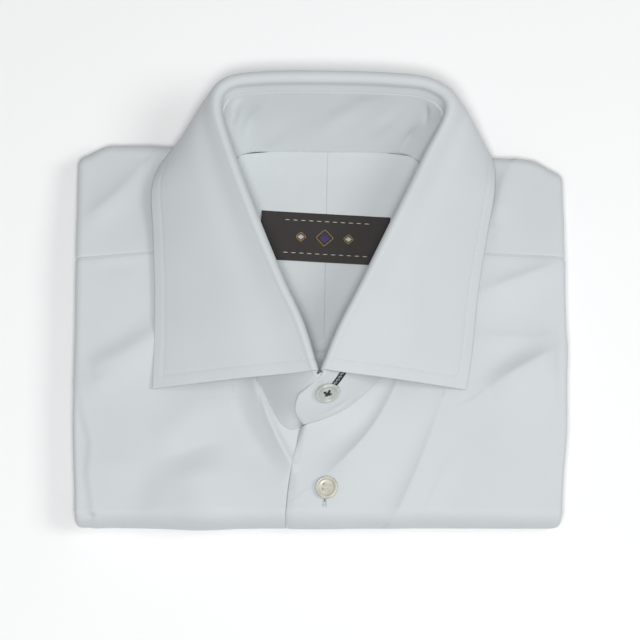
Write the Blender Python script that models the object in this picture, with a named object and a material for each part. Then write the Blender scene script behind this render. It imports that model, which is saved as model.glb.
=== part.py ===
# A folded dress shirt, buttoned at the neck, lying flat on its back layers.
#
# +Z is up, +X is the viewer's right and +Y points from the front fold to the collar.
# The origin is the centre of the flat underside. The tables are in millimetres, and
# new_object() turns them into metres.

import math

import bpy
import numpy as np
from mathutils import Vector

MM = 0.001

# Overall size of the folded body.
HALF_WIDTH = 122.7
FRONT_EDGE = -96.9
SHOULDER_EDGE = 96.8
SHOULDER_SKEW = 0.036
SHOULDER_CORNER = 7.0
SHOULDER_CORNER_FROM = 106.0
BODY_HEIGHT = 26.0
MID_HEIGHT = BODY_HEIGHT / 2
SHOULDER_HEIGHT = 19.5

# How far each side draws in towards the fold at the front, and where it begins and ends.
DRAWN_IN = {-1: 1.8, 1: 3.6}
DRAWN_FROM = 40.0
DRAWN_TO = 95.0

# Cloth, as walls with the two or three plies that are sewn together.
PANEL_WALL = 1.5
YOKE_WALL = 1.6
BAND_WALL = 2.0
LEAF_WALL = 1.8
LABEL_WALL = 0.9
GAP = 0.3
LEAF_SEAM_GAP = 1.1
SEAM_GAP = 0.4
NECK_CLEARANCE = 1.5
NECK_SETTLE = 9.0
NECK_INSET = 7.0
BACK_INSET = 10.5
YOKE_CLEARANCE = 2.8
STACK_GAP = 1.1
YOKE_DROP = 1.3
BAND_BOW = 1.0
LEAF_BULGE = (1.6, 1.2)

# The hidden stack: how far it stays short of the shoulder edge, how far its side bundles
# reach, how deep the side rolls of the fronts wrap it, how far round each point it looks
# for the lowest cloth, and its rounded far edge.
STACK_SHORT = 9.0
STACK_REACH = 3.6
STACK_INSET = 0.6
WRAPPED_DEPTH = 6.4
WRAPPED_SHARE = 0.25
STACK_LOOK = 6.0
STACK_BUNDLE = 0.5
SIDE_SHARES = (0.08, 0.2, 0.34, 0.5, 0.6, 0.74, 0.88)
FAR_ROLL = 6.5
FOOT_STEP = 2.0

# The rolled edges: one bundle of layers at the sides, the whole stack at the front.
SIDE_ROLL = 3.6
FRONT_ROLL = 10.0
SHOULDER_ROLL = 5.5
SIDE_WRAP = math.radians(150)
FRONT_WRAP = math.radians(168)
SHOULDER_WRAP = math.radians(105)
FOLD_RATE = 0.85
FRONT_RUN = FRONT_ROLL * FRONT_WRAP / FOLD_RATE

# The buttoned opening.
OVERLAP_LIFT = 2.1
OVERLAP_FROM = 6.0
OVERLAP_TO = 26.0
OVERLAP_UNDER_FROM = -32.0
OVERLAP_UNDER_TO = -19.0
PLACKET_TOP = (-10.2, -49.6)
PLACKET_FOOT = -17.4
UNDER_FOOT = 9.5

# The well inside the collar, where the inner yoke and the back lie.
WELL_FLOOR = 15.9
YOKE_INNER_TOP = 18.2
BACK_TOP = 17.7
YOKE_INNER_SEAM = -2.7
YOKE_INNER_BACK = 93.6
WELL_RISE = 1.3
WELL_FRONT = -54.0
WELL_BACK = 99.0
BACK_FRONT = -33.0
CENTRE_SEAM_BACK = 3.7
CENTRE_SEAM_FRONT = 2.0

# Trims.
COLLAR_BUTTON_RADIUS = 6.2
FRONT_BUTTON_RADIUS = 5.65
BUTTON_HEIGHT = 2.4
BUTTON_SIDES = 24
#    radius as a share, height
BUTTON_PROFILE = (
    (0.78, 0.0),
    (0.955, 0.7),
    (1.0, 1.3),
    (0.94, 2.1),
    (0.83, BUTTON_HEIGHT),
    (0.71, 2.1),
    (0.585, 1.7),
)
BUTTON_HOLE_RADIUS = 0.75
BUTTON_HOLE_SPACING = 2.5
COLLAR_BUTTON_PLACE = 8.6
COLLAR_BUTTON_RISE = 0.655
COLLAR_BUTTON_STAND = 2.0
FRONT_BUTTON = (3.4, -80.2)
LABEL_CENTRE = (2.3, 50.4)
LABEL_WIDTH = 65.0
LABEL_DEPTH = 25.5
LABEL_TURN = math.radians(-3.4)

# The collar, a row for each section round the neck. root is the neck seam, fold is the
# inner side of the rolled edge, edge is the outer edge of the leaf. drop is how far below
# the fold the leaf is sewn to the band, roll is the radius of the fold, and out is the
# direction in plan, in degrees, in which the leaf rolls over.
#    name           root x, y, z          fold x, y, z          drop roll  out  edge x, y, z
COLLAR = (
    ("left front", -15.0, -50.5, 28.0, -1.9, -27.0, 52.0, 3.0, 1.9, 184, -83.2, -30.0, 27.6),
    ("left breast", -29.0, -29.0, 27.5, -8.2, -4.0, 53.6, 4.0, 2.4, 181, -82.6, -10.0, 28.0),
    ("left low", -44.0, 3.0, 26.5, -17.8, 18.0, 53.8, 4.5, 2.7, 180, -82.4, 18.0, 28.4),
    ("left mid", -54.0, 35.0, 25.0, -30.4, 49.6, 53.4, 5.0, 3.0, 180, -83.4, 48.0, 29.2),
    ("left high", -57.0, 63.0, 23.0, -43.6, 86.0, 52.4, 6.5, 3.0, 172, -83.6, 77.0, 28.4),
    ("left corner", -50.0, 84.0, 21.0, -49.4, 107.4, 51.2, 7.5, 3.2, 155, -73.8, 95.0, 21.5),
    ("left turn", -39.0, 94.0, 20.0, -45.0, 118.2, 50.2, 8.0, 3.3, 120, -59.0, 101.9, 14.0),
    ("left back", -22.0, 95.6, 19.6, -28.0, 120.8, 50.5, 8.0, 3.4, 95, -31.0, 103.9, 10.0),
    ("back", 4.0, 95.3, 19.5, 3.5, 121.1, 50.6, 8.0, 3.4, 90, 3.5, 104.2, 9.0),
    ("right back", 30.0, 95.0, 19.6, 35.0, 120.1, 50.5, 8.0, 3.4, 85, 39.0, 103.3, 10.0),
    ("right turn", 46.0, 93.0, 20.0, 54.5, 117.4, 50.4, 8.0, 3.3, 60, 69.0, 100.8, 14.0),
    ("right corner", 57.0, 82.0, 21.0, 62.6, 107.0, 51.4, 7.5, 3.2, 25, 85.6, 92.0, 21.5),
    ("right high", 63.0, 60.0, 23.0, 51.6, 82.6, 52.4, 6.5, 3.0, 8, 87.6, 74.0, 29.0),
    ("right mid", 59.0, 32.0, 25.5, 37.0, 51.6, 53.6, 5.0, 3.0, 0, 83.6, 49.0, 29.2),
    ("right low", 46.0, 2.0, 28.0, 20.4, 17.0, 54.4, 4.5, 2.7, 0, 78.6, 18.0, 28.4),
    ("right breast", 30.0, -25.0, 30.5, 8.6, -7.0, 54.4, 4.0, 2.4, -1, 75.4, -12.0, 28.0),
    ("right front", 14.0, -40.0, 31.6, 1.5, -26.8, 52.8, 4.0, 1.9, -3, 72.6, -30.6, 27.6),
)

# The band alone runs on past both leaves: the left end tucks under, the right is the tab.
#    name             root x, y, z       top x, y, z
BAND_LEFT_END = (
    ("under end", 12.0, -36.5, 23.4, 14.5, -23.5, 41.0),
    ("under tab", -1.0, -44.4, 24.2, 4.0, -25.6, 45.4),
)
BAND_RIGHT_END = (
    ("tab neck", 4.0, -44.6, 31.6, -2.0, -30.4, 49.0),
    ("tab end", -8.6, -47.2, 30.8, -11.2, -35.2, 43.6),
)
TAB_ROUND = 3.2
TAB_ROUND_FROM = 0.955

# The seam between each front and the yoke: where it meets the neck and the side.
#    side     neck x, y        side y
YOKE_SEAM = {
    -1: (-56.5, 43.0, 37.8),
    1: (61.0, 41.0, 38.4),
}

# Soft folds in the fronts and the yoke: a ridge where the height is positive. Each runs
# from its start through its middle to its end, and dies away over an end that isn't open.
#    name                 start x, y      middle x, y    end x, y     height width open ends
FOLDS = (
    ("left lip", -31.0, -28.0, -26.5, -43.0, -15.0, -65.0, 2.4, 5.0, 1.0, 0.6),
    ("left lip trough", -38.0, -32.0, -33.0, -52.0, -18.0, -73.0, -2.4, 7.0, 0.8, 0.4),
    ("right neck ridge", 16.0, -46.0, 24.0, -42.0, 36.0, -28.0, 1.6, 7.0, 0.4, 1.0),
    ("right main valley", 40.0, -26.0, 27.0, -51.0, -3.0, -77.0, -3.0, 7.5, 1.0, 0.2),
    ("right main ridge", 50.0, -30.0, 38.0, -58.0, 12.0, -84.0, 1.2, 8.0, 0.8, 0.2),
    ("right second valley", 60.0, -38.0, 50.0, -62.0, 38.0, -94.0, -1.6, 7.5, 0.6, 0.9),
    ("right second ridge", 66.0, -40.0, 59.0, -64.0, 48.0, -92.0, 0.9, 8.0, 0.5, 0.5),
    ("right side trough", 123.0, -8.0, 98.0, -20.0, 72.0, -33.0, -2.4, 8.0, 1.0, 0.8),
    ("right side ridge", 122.0, -20.0, 100.0, -32.0, 78.0, -45.0, 1.2, 9.0, 0.8, 0.3),
    ("right yoke trough", 120.0, 36.0, 101.0, 29.0, 82.0, 22.0, -1.5, 6.0, 0.8, 0.4),
    ("left side trough", -122.0, -2.0, -104.0, -8.0, -82.0, -14.0, -2.0, 8.0, 1.0, 0.9),
    ("left side dart", -121.0, -14.0, -106.0, -24.0, -90.0, -20.0, -1.3, 6.0, 0.8, 0.2),
    ("left long ridge", -58.0, -38.0, -70.0, -50.0, -86.0, -60.0, 0.9, 10.0, 0.6, 0.1),
    ("left low hollow", -94.0, -70.0, -80.0, -74.0, -66.0, -72.0, -1.6, 14.0, 0.3, 0.3),
    ("left shoulder trough", -120.0, 62.0, -104.0, 70.0, -90.0, 88.0, -1.2, 7.0, 0.6, 0.8),
    ("right shoulder dip", 90.0, 58.0, 91.0, 74.0, 98.0, 88.0, -1.4, 6.0, 0.4, 0.6),
    ("left edge ridge", -117.0, -26.0, -113.0, -58.0, -115.0, -88.0, 0.9, 4.5, 0.2, 0.6),
    ("right edge ridge", 117.5, -34.0, 116.0, -60.0, 117.0, -88.0, 0.8, 4.5, 0.2, 0.6),
)


def fade(value, start, end):
    """0 before start, 1 after end, and smooth between them."""
    t = np.clip((value - start) / (end - start), 0.0, 1.0)
    return t * t * (3.0 - 2.0 * t)


def along_rows(rows, count):
    """The rows of numbers joined by a smooth curve, as count evenly spaced rows."""
    rows = np.asarray(rows, float)
    steps = np.linalg.norm(np.diff(rows, axis=0), axis=1) ** 0.5
    knots = np.concatenate([[0.0], np.cumsum(steps)])
    slopes = np.gradient(rows, knots, axis=0)
    places = np.linspace(0.0, knots[-1], count)
    span = np.clip(np.searchsorted(knots, places, side="right") - 1, 0, len(rows) - 2)
    width = (knots[span + 1] - knots[span])[:, None]
    t = ((places - knots[span])[:, None]) / width
    first, second = rows[span], rows[span + 1]
    leave, reach = slopes[span] * width, slopes[span + 1] * width
    return (
        (2 * t**3 - 3 * t**2 + 1) * first
        + (t**3 - 2 * t**2 + t) * leave
        + (3 * t**2 - 2 * t**3) * second
        + (t**3 - t**2) * reach
    )


def relief(x, y):
    """Height of the soft folds above the plain body at points of the flat cloth."""
    total = np.zeros(np.broadcast(x, y).shape)
    for _, x0, y0, x1, y1, x2, y2, height, width, open_start, open_end in FOLDS:
        nearest = np.full(total.shape, np.inf)
        place = np.zeros(total.shape)
        for t in np.linspace(0.0, 1.0, 17):
            px = (1 - t) ** 2 * x0 + 2 * t * (1 - t) * x1 + t * t * x2
            py = (1 - t) ** 2 * y0 + 2 * t * (1 - t) * y1 + t * t * y2
            gap = (x - px) ** 2 + (y - py) ** 2
            place = np.where(gap < nearest, t, place)
            nearest = np.minimum(nearest, gap)
        ends = fade(place, -0.8 * open_start, 0.4) * fade(1 - place, -0.8 * open_end, 0.4)
        total += height * ends * np.exp(-nearest / width**2)
    return total


def body_height(x, y):
    """Height of the upper layer, which falls a little to the shoulders and the sides."""
    shoulders = (BODY_HEIGHT - SHOULDER_HEIGHT) * fade(y, 34.0, 104.0)
    sides = 1.6 * fade(np.abs(x), 86.0, 119.0)
    middle = 0.7 * np.exp(-((x / 60.0) ** 2) - ((y + 60.0) / 40.0) ** 2)
    return BODY_HEIGHT - shoulders - sides + middle


def drawn_in(points):
    """The points with both sides of the body drawn in towards the fold at the front."""
    by = fade(-points[..., 1], DRAWN_FROM, DRAWN_TO)
    side = np.where(points[..., 0] < 0, DRAWN_IN[-1], DRAWN_IN[1])
    points[..., 0] *= 1.0 - by * side / HALF_WIDTH
    return points


def round_front(y):
    """0 on top of the body, rising to 1 as the cloth passes under the fold at the front."""
    start = FRONT_EDGE + FRONT_ROLL
    return fade(start - y, 0.0, FRONT_RUN)


def shoulder_start(x):
    """Where the cloth begins to turn down over the shoulder, which runs a little askew."""
    corner = SHOULDER_CORNER * fade(np.abs(x), SHOULDER_CORNER_FROM, HALF_WIDTH)
    return SHOULDER_EDGE - SHOULDER_SKEW * x - corner - SHOULDER_ROLL


def flat_y(x, y):
    """The place on the flat cloth of a point at y, past the shoulder roll's start too."""
    start = shoulder_start(x)
    turned = np.arcsin(np.clip((y - start) / SHOULDER_ROLL, 0.0, 0.99))
    return np.where(y > start, start + SHOULDER_ROLL * turned, y)


def on_body(x, y, lift):
    """Points of the folded body over points of the flat cloth, lifted off its face.

    Past HALF_WIDTH the cloth turns round the side roll, past the front it turns round
    the whole stack, and past the shoulders it turns down behind.
    """
    x, y, lift = np.broadcast_arrays(np.asarray(x, float), y, lift)
    lift = lift + relief(x, y) * (1.0 - 0.8 * round_front(y))
    core = HALF_WIDTH - SIDE_ROLL
    turn = np.clip((np.abs(x) - core) / SIDE_ROLL, 0.0, SIDE_WRAP)
    reach = np.where(turn > 0, core + (SIDE_ROLL + lift) * np.sin(turn), np.abs(x))
    sunk = SIDE_ROLL - (SIDE_ROLL + lift) * np.cos(turn)
    level = body_height(x, y)

    front = FRONT_EDGE + FRONT_ROLL
    half = level - MID_HEIGHT
    bend = np.clip((front - y) / FRONT_ROLL * FOLD_RATE, 0.0, FRONT_WRAP)
    tall = np.where(bend > math.pi / 2, MID_HEIGHT, half)
    ny, nz = np.sin(bend) / FRONT_ROLL, np.cos(bend) / tall
    length = np.hypot(ny, nz)
    ny, nz = ny / length, nz / length
    near_y = front - FRONT_ROLL * np.sin(bend) + ny * sunk
    near_z = MID_HEIGHT + tall * np.cos(bend) - nz * sunk

    shoulder = shoulder_start(x)
    tip = np.clip((y - shoulder) / SHOULDER_ROLL, 0.0, SHOULDER_WRAP)
    far_y = shoulder + (SHOULDER_ROLL - sunk) * np.sin(tip)
    far_z = level - SHOULDER_ROLL + (SHOULDER_ROLL - sunk) * np.cos(tip)

    out_y = np.where(y < front, near_y, np.where(y > shoulder, far_y, y))
    out_z = np.where(y < front, near_z, np.where(y > shoulder, far_z, level - sunk))
    return drawn_in(np.stack([np.sign(x) * reach, out_y, out_z], axis=-1))


def new_object(name, points, faces, material, smooth_angle=40):
    """One closed mesh object from points in millimetres, with its faces outwards."""
    mesh = bpy.data.meshes.new(name)
    mesh.from_pydata([tuple(p * MM) for p in np.asarray(points, float)], [], faces)
    mesh.validate()
    mesh.materials.append(material)
    mesh.shade_smooth()
    mesh.set_sharp_from_angle(angle=math.radians(smooth_angle))
    item = bpy.data.objects.new(name, mesh)
    bpy.context.scene.collection.objects.link(item)
    return item


def grid_faces(rows, columns, start=0, flip=False):
    """Quads of a grid whose points are stored row by row."""
    faces = []
    for i in range(rows - 1):
        for j in range(columns - 1):
            a = start + i * columns + j
            quad = (a, a + 1, a + columns + 1, a + columns)
            faces.append(quad[::-1] if flip else quad)
    return faces


def signed_volume(points, faces):
    """Positive where the faces point outwards."""
    total = 0.0
    for face in faces:
        a = points[face[0]]
        for b, c in zip(face[1:-1], face[2:]):
            total += np.dot(a, np.cross(points[b], points[c]))
    return total


def wall(name, outer, inner, material):
    """A closed wall between two grids of the same size."""
    rows, columns = outer.shape[:2]
    count = rows * columns
    points = np.concatenate([outer.reshape(-1, 3), inner.reshape(-1, 3)])
    faces = grid_faces(rows, columns) + grid_faces(rows, columns, count, True)
    rim = list(range(columns))
    rim += [i * columns + columns - 1 for i in range(1, rows)]
    rim += [(rows - 1) * columns + j for j in range(columns - 2, -1, -1)]
    rim += [i * columns for i in range(rows - 2, 0, -1)]
    for a, b in zip(rim, rim[1:] + rim[:1]):
        faces.append((b, a, a + count, b + count))
    if signed_volume(points, faces) < 0:
        faces = [face[::-1] for face in faces]
    return new_object(name, points, faces, material)


def thickened(name, middle, thickness, material):
    """A wall of even thickness about a grid of its middle points."""
    normals = np.cross(np.gradient(middle, axis=0), np.gradient(middle, axis=1))
    normals /= np.linalg.norm(normals, axis=-1, keepdims=True)
    half = normals * thickness / 2
    return wall(name, middle + half, middle - half, material)


def cloth(name, colour, roughness=0.85):
    material = bpy.data.materials.new(name)
    material.use_nodes = True
    shader = material.node_tree.nodes["Principled BSDF"]
    shader.inputs["Base Color"].default_value = (*colour, 1.0)
    shader.inputs["Roughness"].default_value = roughness
    shader.inputs["Metallic"].default_value = 0.0
    return material


def collar_sections(count):
    """Seam, fold, roll, out direction and edge at even places of the collar."""
    rows = along_rows([row[1:] for row in COLLAR], count)
    root, fold, edge = rows[:, 0:3], rows[:, 3:6], rows[:, 9:12]
    drop, roll, out = rows[:, 6:7], rows[:, 7:8], np.radians(rows[:, 8])
    down = (root - fold) / np.linalg.norm(root - fold, axis=1, keepdims=True)
    outwards = np.stack([np.cos(out), np.sin(out), np.zeros(count)], axis=1)
    return fold + down * drop, fold, roll, outwards, edge


def make_collar_leaf(material):
    """The leaf, from its seam inside, over the rolled edge and down to its outer edge."""
    seam, fold, roll, out, edge = collar_sections(45)
    up = np.array([0.0, 0.0, 1.0])
    toward = (fold - seam) / np.linalg.norm(fold - seam, axis=1, keepdims=True)
    over = fold + out * 2 * roll - up * 0.3 * roll
    bulge = up * LEAF_BULGE[0] + out * LEAF_BULGE[1]
    path = (
        seam + toward * LEAF_SEAM_GAP / 2,
        fold,
        fold + out * 0.35 * roll + up * 0.8 * roll,
        fold + out * roll + up * 1.05 * roll,
        fold + out * 1.7 * roll + up * 0.6 * roll,
        over + (edge - over) * 0.12 + bulge * 0.5,
        over + (edge - over) * 0.35 + bulge,
        over + (edge - over) * 0.68 + bulge * 0.7,
        edge,
    )
    grid = np.stack([along_rows(section, 12) for section in np.stack(path, axis=1)])
    return thickened("collar_leaf", grid, LEAF_WALL, material)


def band_rows():
    """Root and top of the band at each section, with both ends."""
    rows = [row[1:] for row in BAND_LEFT_END]
    for _, *row in COLLAR:
        foot, fold, drop = np.array(row[0:3]), np.array(row[3:6]), row[6]
        down = (foot - fold) / np.linalg.norm(foot - fold)
        top = fold + down * (drop + LEAF_SEAM_GAP / 2)
        rows.append((*foot, *top))
    return rows + [row[1:] for row in BAND_RIGHT_END]


def band_grid(count=48, steps=6):
    """Middle points of the band from its root to its top, slightly bowed."""
    rows = along_rows(band_rows(), count)
    foot, top = rows[:, :3], rows[:, 3:]
    share = np.linspace(0.0, 1.0, steps)[None, :, None]
    grid = foot[:, None] + (top - foot)[:, None] * share
    normals = np.cross(np.gradient(foot, axis=0), top - foot)
    normals /= np.linalg.norm(normals, axis=1, keepdims=True)
    outer = -normals if normals[count // 2, 1] > 0 else normals
    grid = grid - outer[:, None] * BAND_BOW * np.sin(math.pi * share)
    end = fade(np.arange(count), count * TAB_ROUND_FROM, count - 1)[:, None]
    grid[..., 0] -= TAB_ROUND * end * np.sin(math.pi * share[0, :, 0])[None]
    return grid


def make_collar_stand(material):
    return thickened("collar_stand", band_grid(), BAND_WALL, material)


def edge_of_neck(side, clearance, count):
    """The panels' neck edge in plan with its height, from the front to the yoke seam."""
    rows = np.array([row[1:4] for row in COLLAR])
    last = YOKE_SEAM[side][1]
    if side < 0:
        rows = rows[: len(rows) // 2]
        start = [(8.0, -46.0, 25.4), (-5.0, -49.0, 26.2)]
    else:
        rows = rows[: len(rows) // 2 : -1]
        start = [(-7.8, -47.4, 30.8), (4.0, -44.6, 31.6)]
    front = rows[rows[:, 1] < last - 4.0]
    seam = (YOKE_SEAM[side][0], last, np.interp(last, rows[:, 1], rows[:, 2]))
    line = along_rows(np.vstack([start, front, seam]), count)
    return moved_out(line, side, clearance)


def moved_out(line, side, clearance):
    """The line moved sideways in plan, away from the neck."""
    run = np.gradient(line[:, :2], axis=0)
    run /= np.linalg.norm(run, axis=1, keepdims=True)
    line = line.copy()
    line[:, 0] += side * np.abs(run[:, 1]) * clearance
    line[:, 1] -= run[:, 0] * side * clearance
    return line


def panel_grid(top, foot, steps, lift, wall_depth):
    """Outer and inner points of a panel ruled from its top edge to its foot.

    top has x, y and the height of the cloth at its seam, which settles onto the body
    within a few millimetres.
    """
    share = np.asarray(steps)[:, None]
    x = top[None, :, 0] + (foot[None, :, 0] - top[None, :, 0]) * share
    y = top[None, :, 1] + (foot[None, :, 1] - top[None, :, 1]) * share
    away = np.hypot(x - top[None, :, 0], y - top[None, :, 1])
    lift = lift(x, y) if callable(lift) else np.full(x.shape, lift)
    plain = on_body(top[:, 0], top[:, 1], lift[0])[:, 2]
    rise = (top[:, 2] - plain)[None] * np.exp(-((away / NECK_SETTLE) ** 2))
    outer = on_body(x, y, lift)
    inner = on_body(x, y, lift - wall_depth)
    outer[..., 2] += rise
    inner[..., 2] += rise
    return outer, inner


def overlap_lift(x, y):
    """How far the viewer's right front stands off, where it lies on the other front."""
    return OVERLAP_LIFT * (1.0 - fade(x, OVERLAP_FROM, OVERLAP_TO)) * (1.0 - round_front(y))


def underlap_lift(x, y):
    """How far the other front sinks beneath it, once both have turned under the body."""
    return -OVERLAP_LIFT * fade(x, OVERLAP_UNDER_FROM, OVERLAP_UNDER_TO) * round_front(y)


def front_steps():
    """Even steps down a front, with closer ones round the fold at its foot."""
    return np.concatenate([np.linspace(0.0, 0.87, 15), np.linspace(0.89, 1.0, 7)])


def make_front(side, material):
    """One front: placket edge, neck edge, yoke seam, side roll and the fold at its foot."""
    neck = edge_of_neck(side, NECK_CLEARANCE, 16)
    seam_x, seam_y, side_y = YOKE_SEAM[side]
    core = HALF_WIDTH - SIDE_ROLL
    shoulder_x = np.linspace(abs(seam_x), core, 7)[1:] * side
    roll_x = (core + np.linspace(0.0, SIDE_ROLL * SIDE_WRAP, 7)[1:]) * side
    seam = np.concatenate([shoulder_x, roll_x])
    fall = np.clip((np.abs(seam) - abs(seam_x)) / (core - abs(seam_x)), 0.0, 1.0)
    seam_y = seam_y + (side_y - seam_y) * fall - SEAM_GAP / 2
    level = on_body(seam, seam_y, 0.0)[:, 2]
    top = np.vstack([neck, np.stack([seam, seam_y, level], axis=1)])
    if side > 0:
        top[0, :2] = PLACKET_TOP
    share = np.linspace(0.0, 1.0, len(neck)) ** 0.9
    start = PLACKET_FOOT if side > 0 else UNDER_FOOT
    foot_x = start + (seam_x - start) * share
    foot_x = np.concatenate([foot_x, seam])
    foot_y = FRONT_EDGE + FRONT_ROLL - FRONT_RUN
    foot = np.stack([foot_x, np.full(len(foot_x), foot_y)], axis=1)
    lift = overlap_lift if side > 0 else underlap_lift
    outer, inner = panel_grid(top, foot, front_steps(), lift, PANEL_WALL)
    name = "front_left" if side > 0 else "front_right"
    return wall(name, outer, inner, material)


def make_yoke_outer(side, material):
    """One half of the outer yoke: from its front seam and the neck over the shoulder."""
    seam_x, seam_y, side_y = YOKE_SEAM[side]
    rows = np.array([row[1:4] for row in COLLAR])
    half = len(rows) // 2
    rows = rows[: half + 1] if side < 0 else rows[: half - 1 : -1]
    rows = rows[rows[:, 1] > seam_y + 4.0]
    rows[-1, 0] = CENTRE_SEAM_BACK
    first = (seam_x, seam_y, on_body(seam_x, seam_y, 0.0)[2])
    inner_edge = moved_out(along_rows(np.vstack([first, rows]), 22), side, YOKE_CLEARANCE)
    inner_edge[-1, 0] = CENTRE_SEAM_BACK + side * SEAM_GAP / 2
    inner_edge[0, 1] = seam_y + SEAM_GAP / 2
    inner_edge[:, 2] -= YOKE_DROP * fade(inner_edge[:, 1], 80.0, 94.0)
    inner_edge[:, 1] = flat_y(inner_edge[:, 0], inner_edge[:, 1])
    wrap_x = HALF_WIDTH - SIDE_ROLL + SIDE_ROLL * SIDE_WRAP
    corner = 9
    last = inner_edge[-1, 0] * side
    outer_x = np.concatenate([[wrap_x] * corner, np.linspace(wrap_x, last, 14)[1:]]) * side
    wrap_y = shoulder_start(outer_x) + SHOULDER_ROLL * SHOULDER_WRAP
    outer_y = wrap_y.copy()
    outer_y[:corner] = np.linspace(side_y + SEAM_GAP / 2, wrap_y[0], corner)
    outer_edge = np.stack([outer_x, outer_y], axis=1)
    steps = 1.0 - np.linspace(1.0, 0.0, 13) ** 1.5
    outer, inner = panel_grid(inner_edge, outer_edge, steps, 0.0, PANEL_WALL)
    name = "yoke_outer_left" if side > 0 else "yoke_outer_right"
    return wall(name, outer, inner, material)


def neck_sides(y):
    """The neck seam's x at each y, on the viewer's left and right."""
    rows = np.array([row[1:4] for row in COLLAR])
    half = len(rows) // 2
    left, right = rows[:half], rows[: half : -1]
    return np.interp(y, left[:, 1], left[:, 0]), np.interp(y, right[:, 1], right[:, 0])


def flat_panel(name, left, right, y, top, depth, material):
    """A panel lying level in the neck well, between two side lines."""
    share = np.linspace(0.0, 1.0, 9)
    x = left[:, None] + (right - left)[:, None] * share
    rows = np.broadcast_to(y[:, None], x.shape)
    height = top + WELL_RISE * fade(rows, 70.0, 95.0)
    upper = np.stack([x, rows, height], axis=-1)
    lower = np.stack([x, rows, height - depth], axis=-1)
    return wall(name, upper, lower, material)


def centre_seam(y):
    share = (y - YOKE_INNER_SEAM) / (YOKE_INNER_BACK - YOKE_INNER_SEAM)
    return CENTRE_SEAM_FRONT + (CENTRE_SEAM_BACK - CENTRE_SEAM_FRONT) * share


def make_yoke_inner(side, material):
    y = np.linspace(YOKE_INNER_SEAM, YOKE_INNER_BACK, 12)
    sides = neck_sides(y)
    outside = sides[0] + NECK_INSET if side < 0 else sides[1] - NECK_INSET
    middle = centre_seam(y) + side * SEAM_GAP / 2
    name = "yoke_inner_left" if side > 0 else "yoke_inner_right"
    return flat_panel(name, outside, middle, y, YOKE_INNER_TOP, YOKE_WALL, material)


def make_back(material):
    y = np.linspace(BACK_FRONT, YOKE_INNER_SEAM - SEAM_GAP, 6)
    left, right = neck_sides(y)
    left, right = left + BACK_INSET, right - BACK_INSET
    return flat_panel("back", left, right, y, BACK_TOP, PANEL_WALL, material)


def make_label(material):
    """The woven label, turned with the collar and lying on the inner yoke."""
    along = np.linspace(-0.5, 0.5, 9) * LABEL_WIDTH
    across = np.linspace(-0.5, 0.5, 5) * LABEL_DEPTH
    u, v = np.meshgrid(along, across)
    x = LABEL_CENTRE[0] + u * math.cos(LABEL_TURN) - v * math.sin(LABEL_TURN)
    y = LABEL_CENTRE[1] + u * math.sin(LABEL_TURN) + v * math.cos(LABEL_TURN)
    lower = np.stack([x, y, np.full(x.shape, YOKE_INNER_TOP + GAP)], axis=-1)
    return wall("label", lower + [0.0, 0.0, LABEL_WALL], lower, material)


def layer_edge(share):
    """How far the side of the stack reaches at a share of the way in from its face."""
    place = math.fmod(share, STACK_BUNDLE) / STACK_BUNDLE
    return math.sqrt(1.0 - (2 * place - 1.0) ** 2)


def under_cloth(x, y):
    """Height of the stack's top: just below the lowest cloth near each point."""
    reach = HALF_WIDTH - SIDE_ROLL
    lowest = np.full(y.shape, np.inf)
    for dx in (-STACK_LOOK, 0.0, STACK_LOOK):
        for dy in (-STACK_LOOK, 0.0, STACK_LOOK):
            px = np.full(y.shape, np.clip(x + dx, -reach, reach))
            py = np.clip(y + dy, FRONT_EDGE + FRONT_ROLL, None)
            lowest = np.minimum(lowest, on_body(px, py, -PANEL_WALL - STACK_GAP)[:, 2])
    return lowest


def stack_far(x):
    """Where the stack's flat top ends, short of the shoulder edge."""
    return float(shoulder_start(x)) + SHOULDER_ROLL - STACK_SHORT


def stack_ring(x, top_steps, fold_steps, far_steps):
    """The closed outline of the hidden layers along one line of the body."""
    front = FRONT_EDGE + FRONT_ROLL
    far = stack_far(x)
    top_y = np.linspace(far, front, top_steps)
    left, right = neck_sides(top_y)
    inside = np.minimum(x - left, right - x)
    inside = np.minimum(inside, np.minimum(WELL_BACK - top_y, top_y - WELL_FRONT))
    well = fade(inside, -9.0, -2.0)
    level = under_cloth(x, top_y) * (1 - well) + WELL_FLOOR * well
    top = np.stack([np.full(top_y.shape, x), top_y, level], axis=1)
    start = np.linspace(0.0, FRONT_RUN, fold_steps + 1)[1:]
    tucked = 1.0 - fade(x, OVERLAP_FROM, OVERLAP_TO)
    sink = underlap_lift(x, front - start) * tucked - PANEL_WALL - 2 * STACK_GAP
    fold = on_body(np.full(start.shape, x), front - start, sink)
    fold[:, 0] = x
    foot = fold[-1, 1] + FOOT_STEP
    fold = np.vstack([fold, [(x, foot, 0.0)]])
    bottom = np.stack([np.full(top_y.shape, x), top_y[::-1], np.zeros(top_y.shape)], axis=1)
    bottom = bottom[bottom[:, 1] > foot + FOOT_STEP]
    swing = np.linspace(-math.pi / 2, math.pi / 2, far_steps + 2)[1:-1]
    roll = np.stack(
        [
            np.full(swing.shape, x),
            far + FAR_ROLL * np.cos(swing),
            MID_HEIGHT / 2 + MID_HEIGHT / 2 * np.sin(swing),
        ],
        axis=1,
    )
    return np.vstack([top, fold, bottom, roll])


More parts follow.
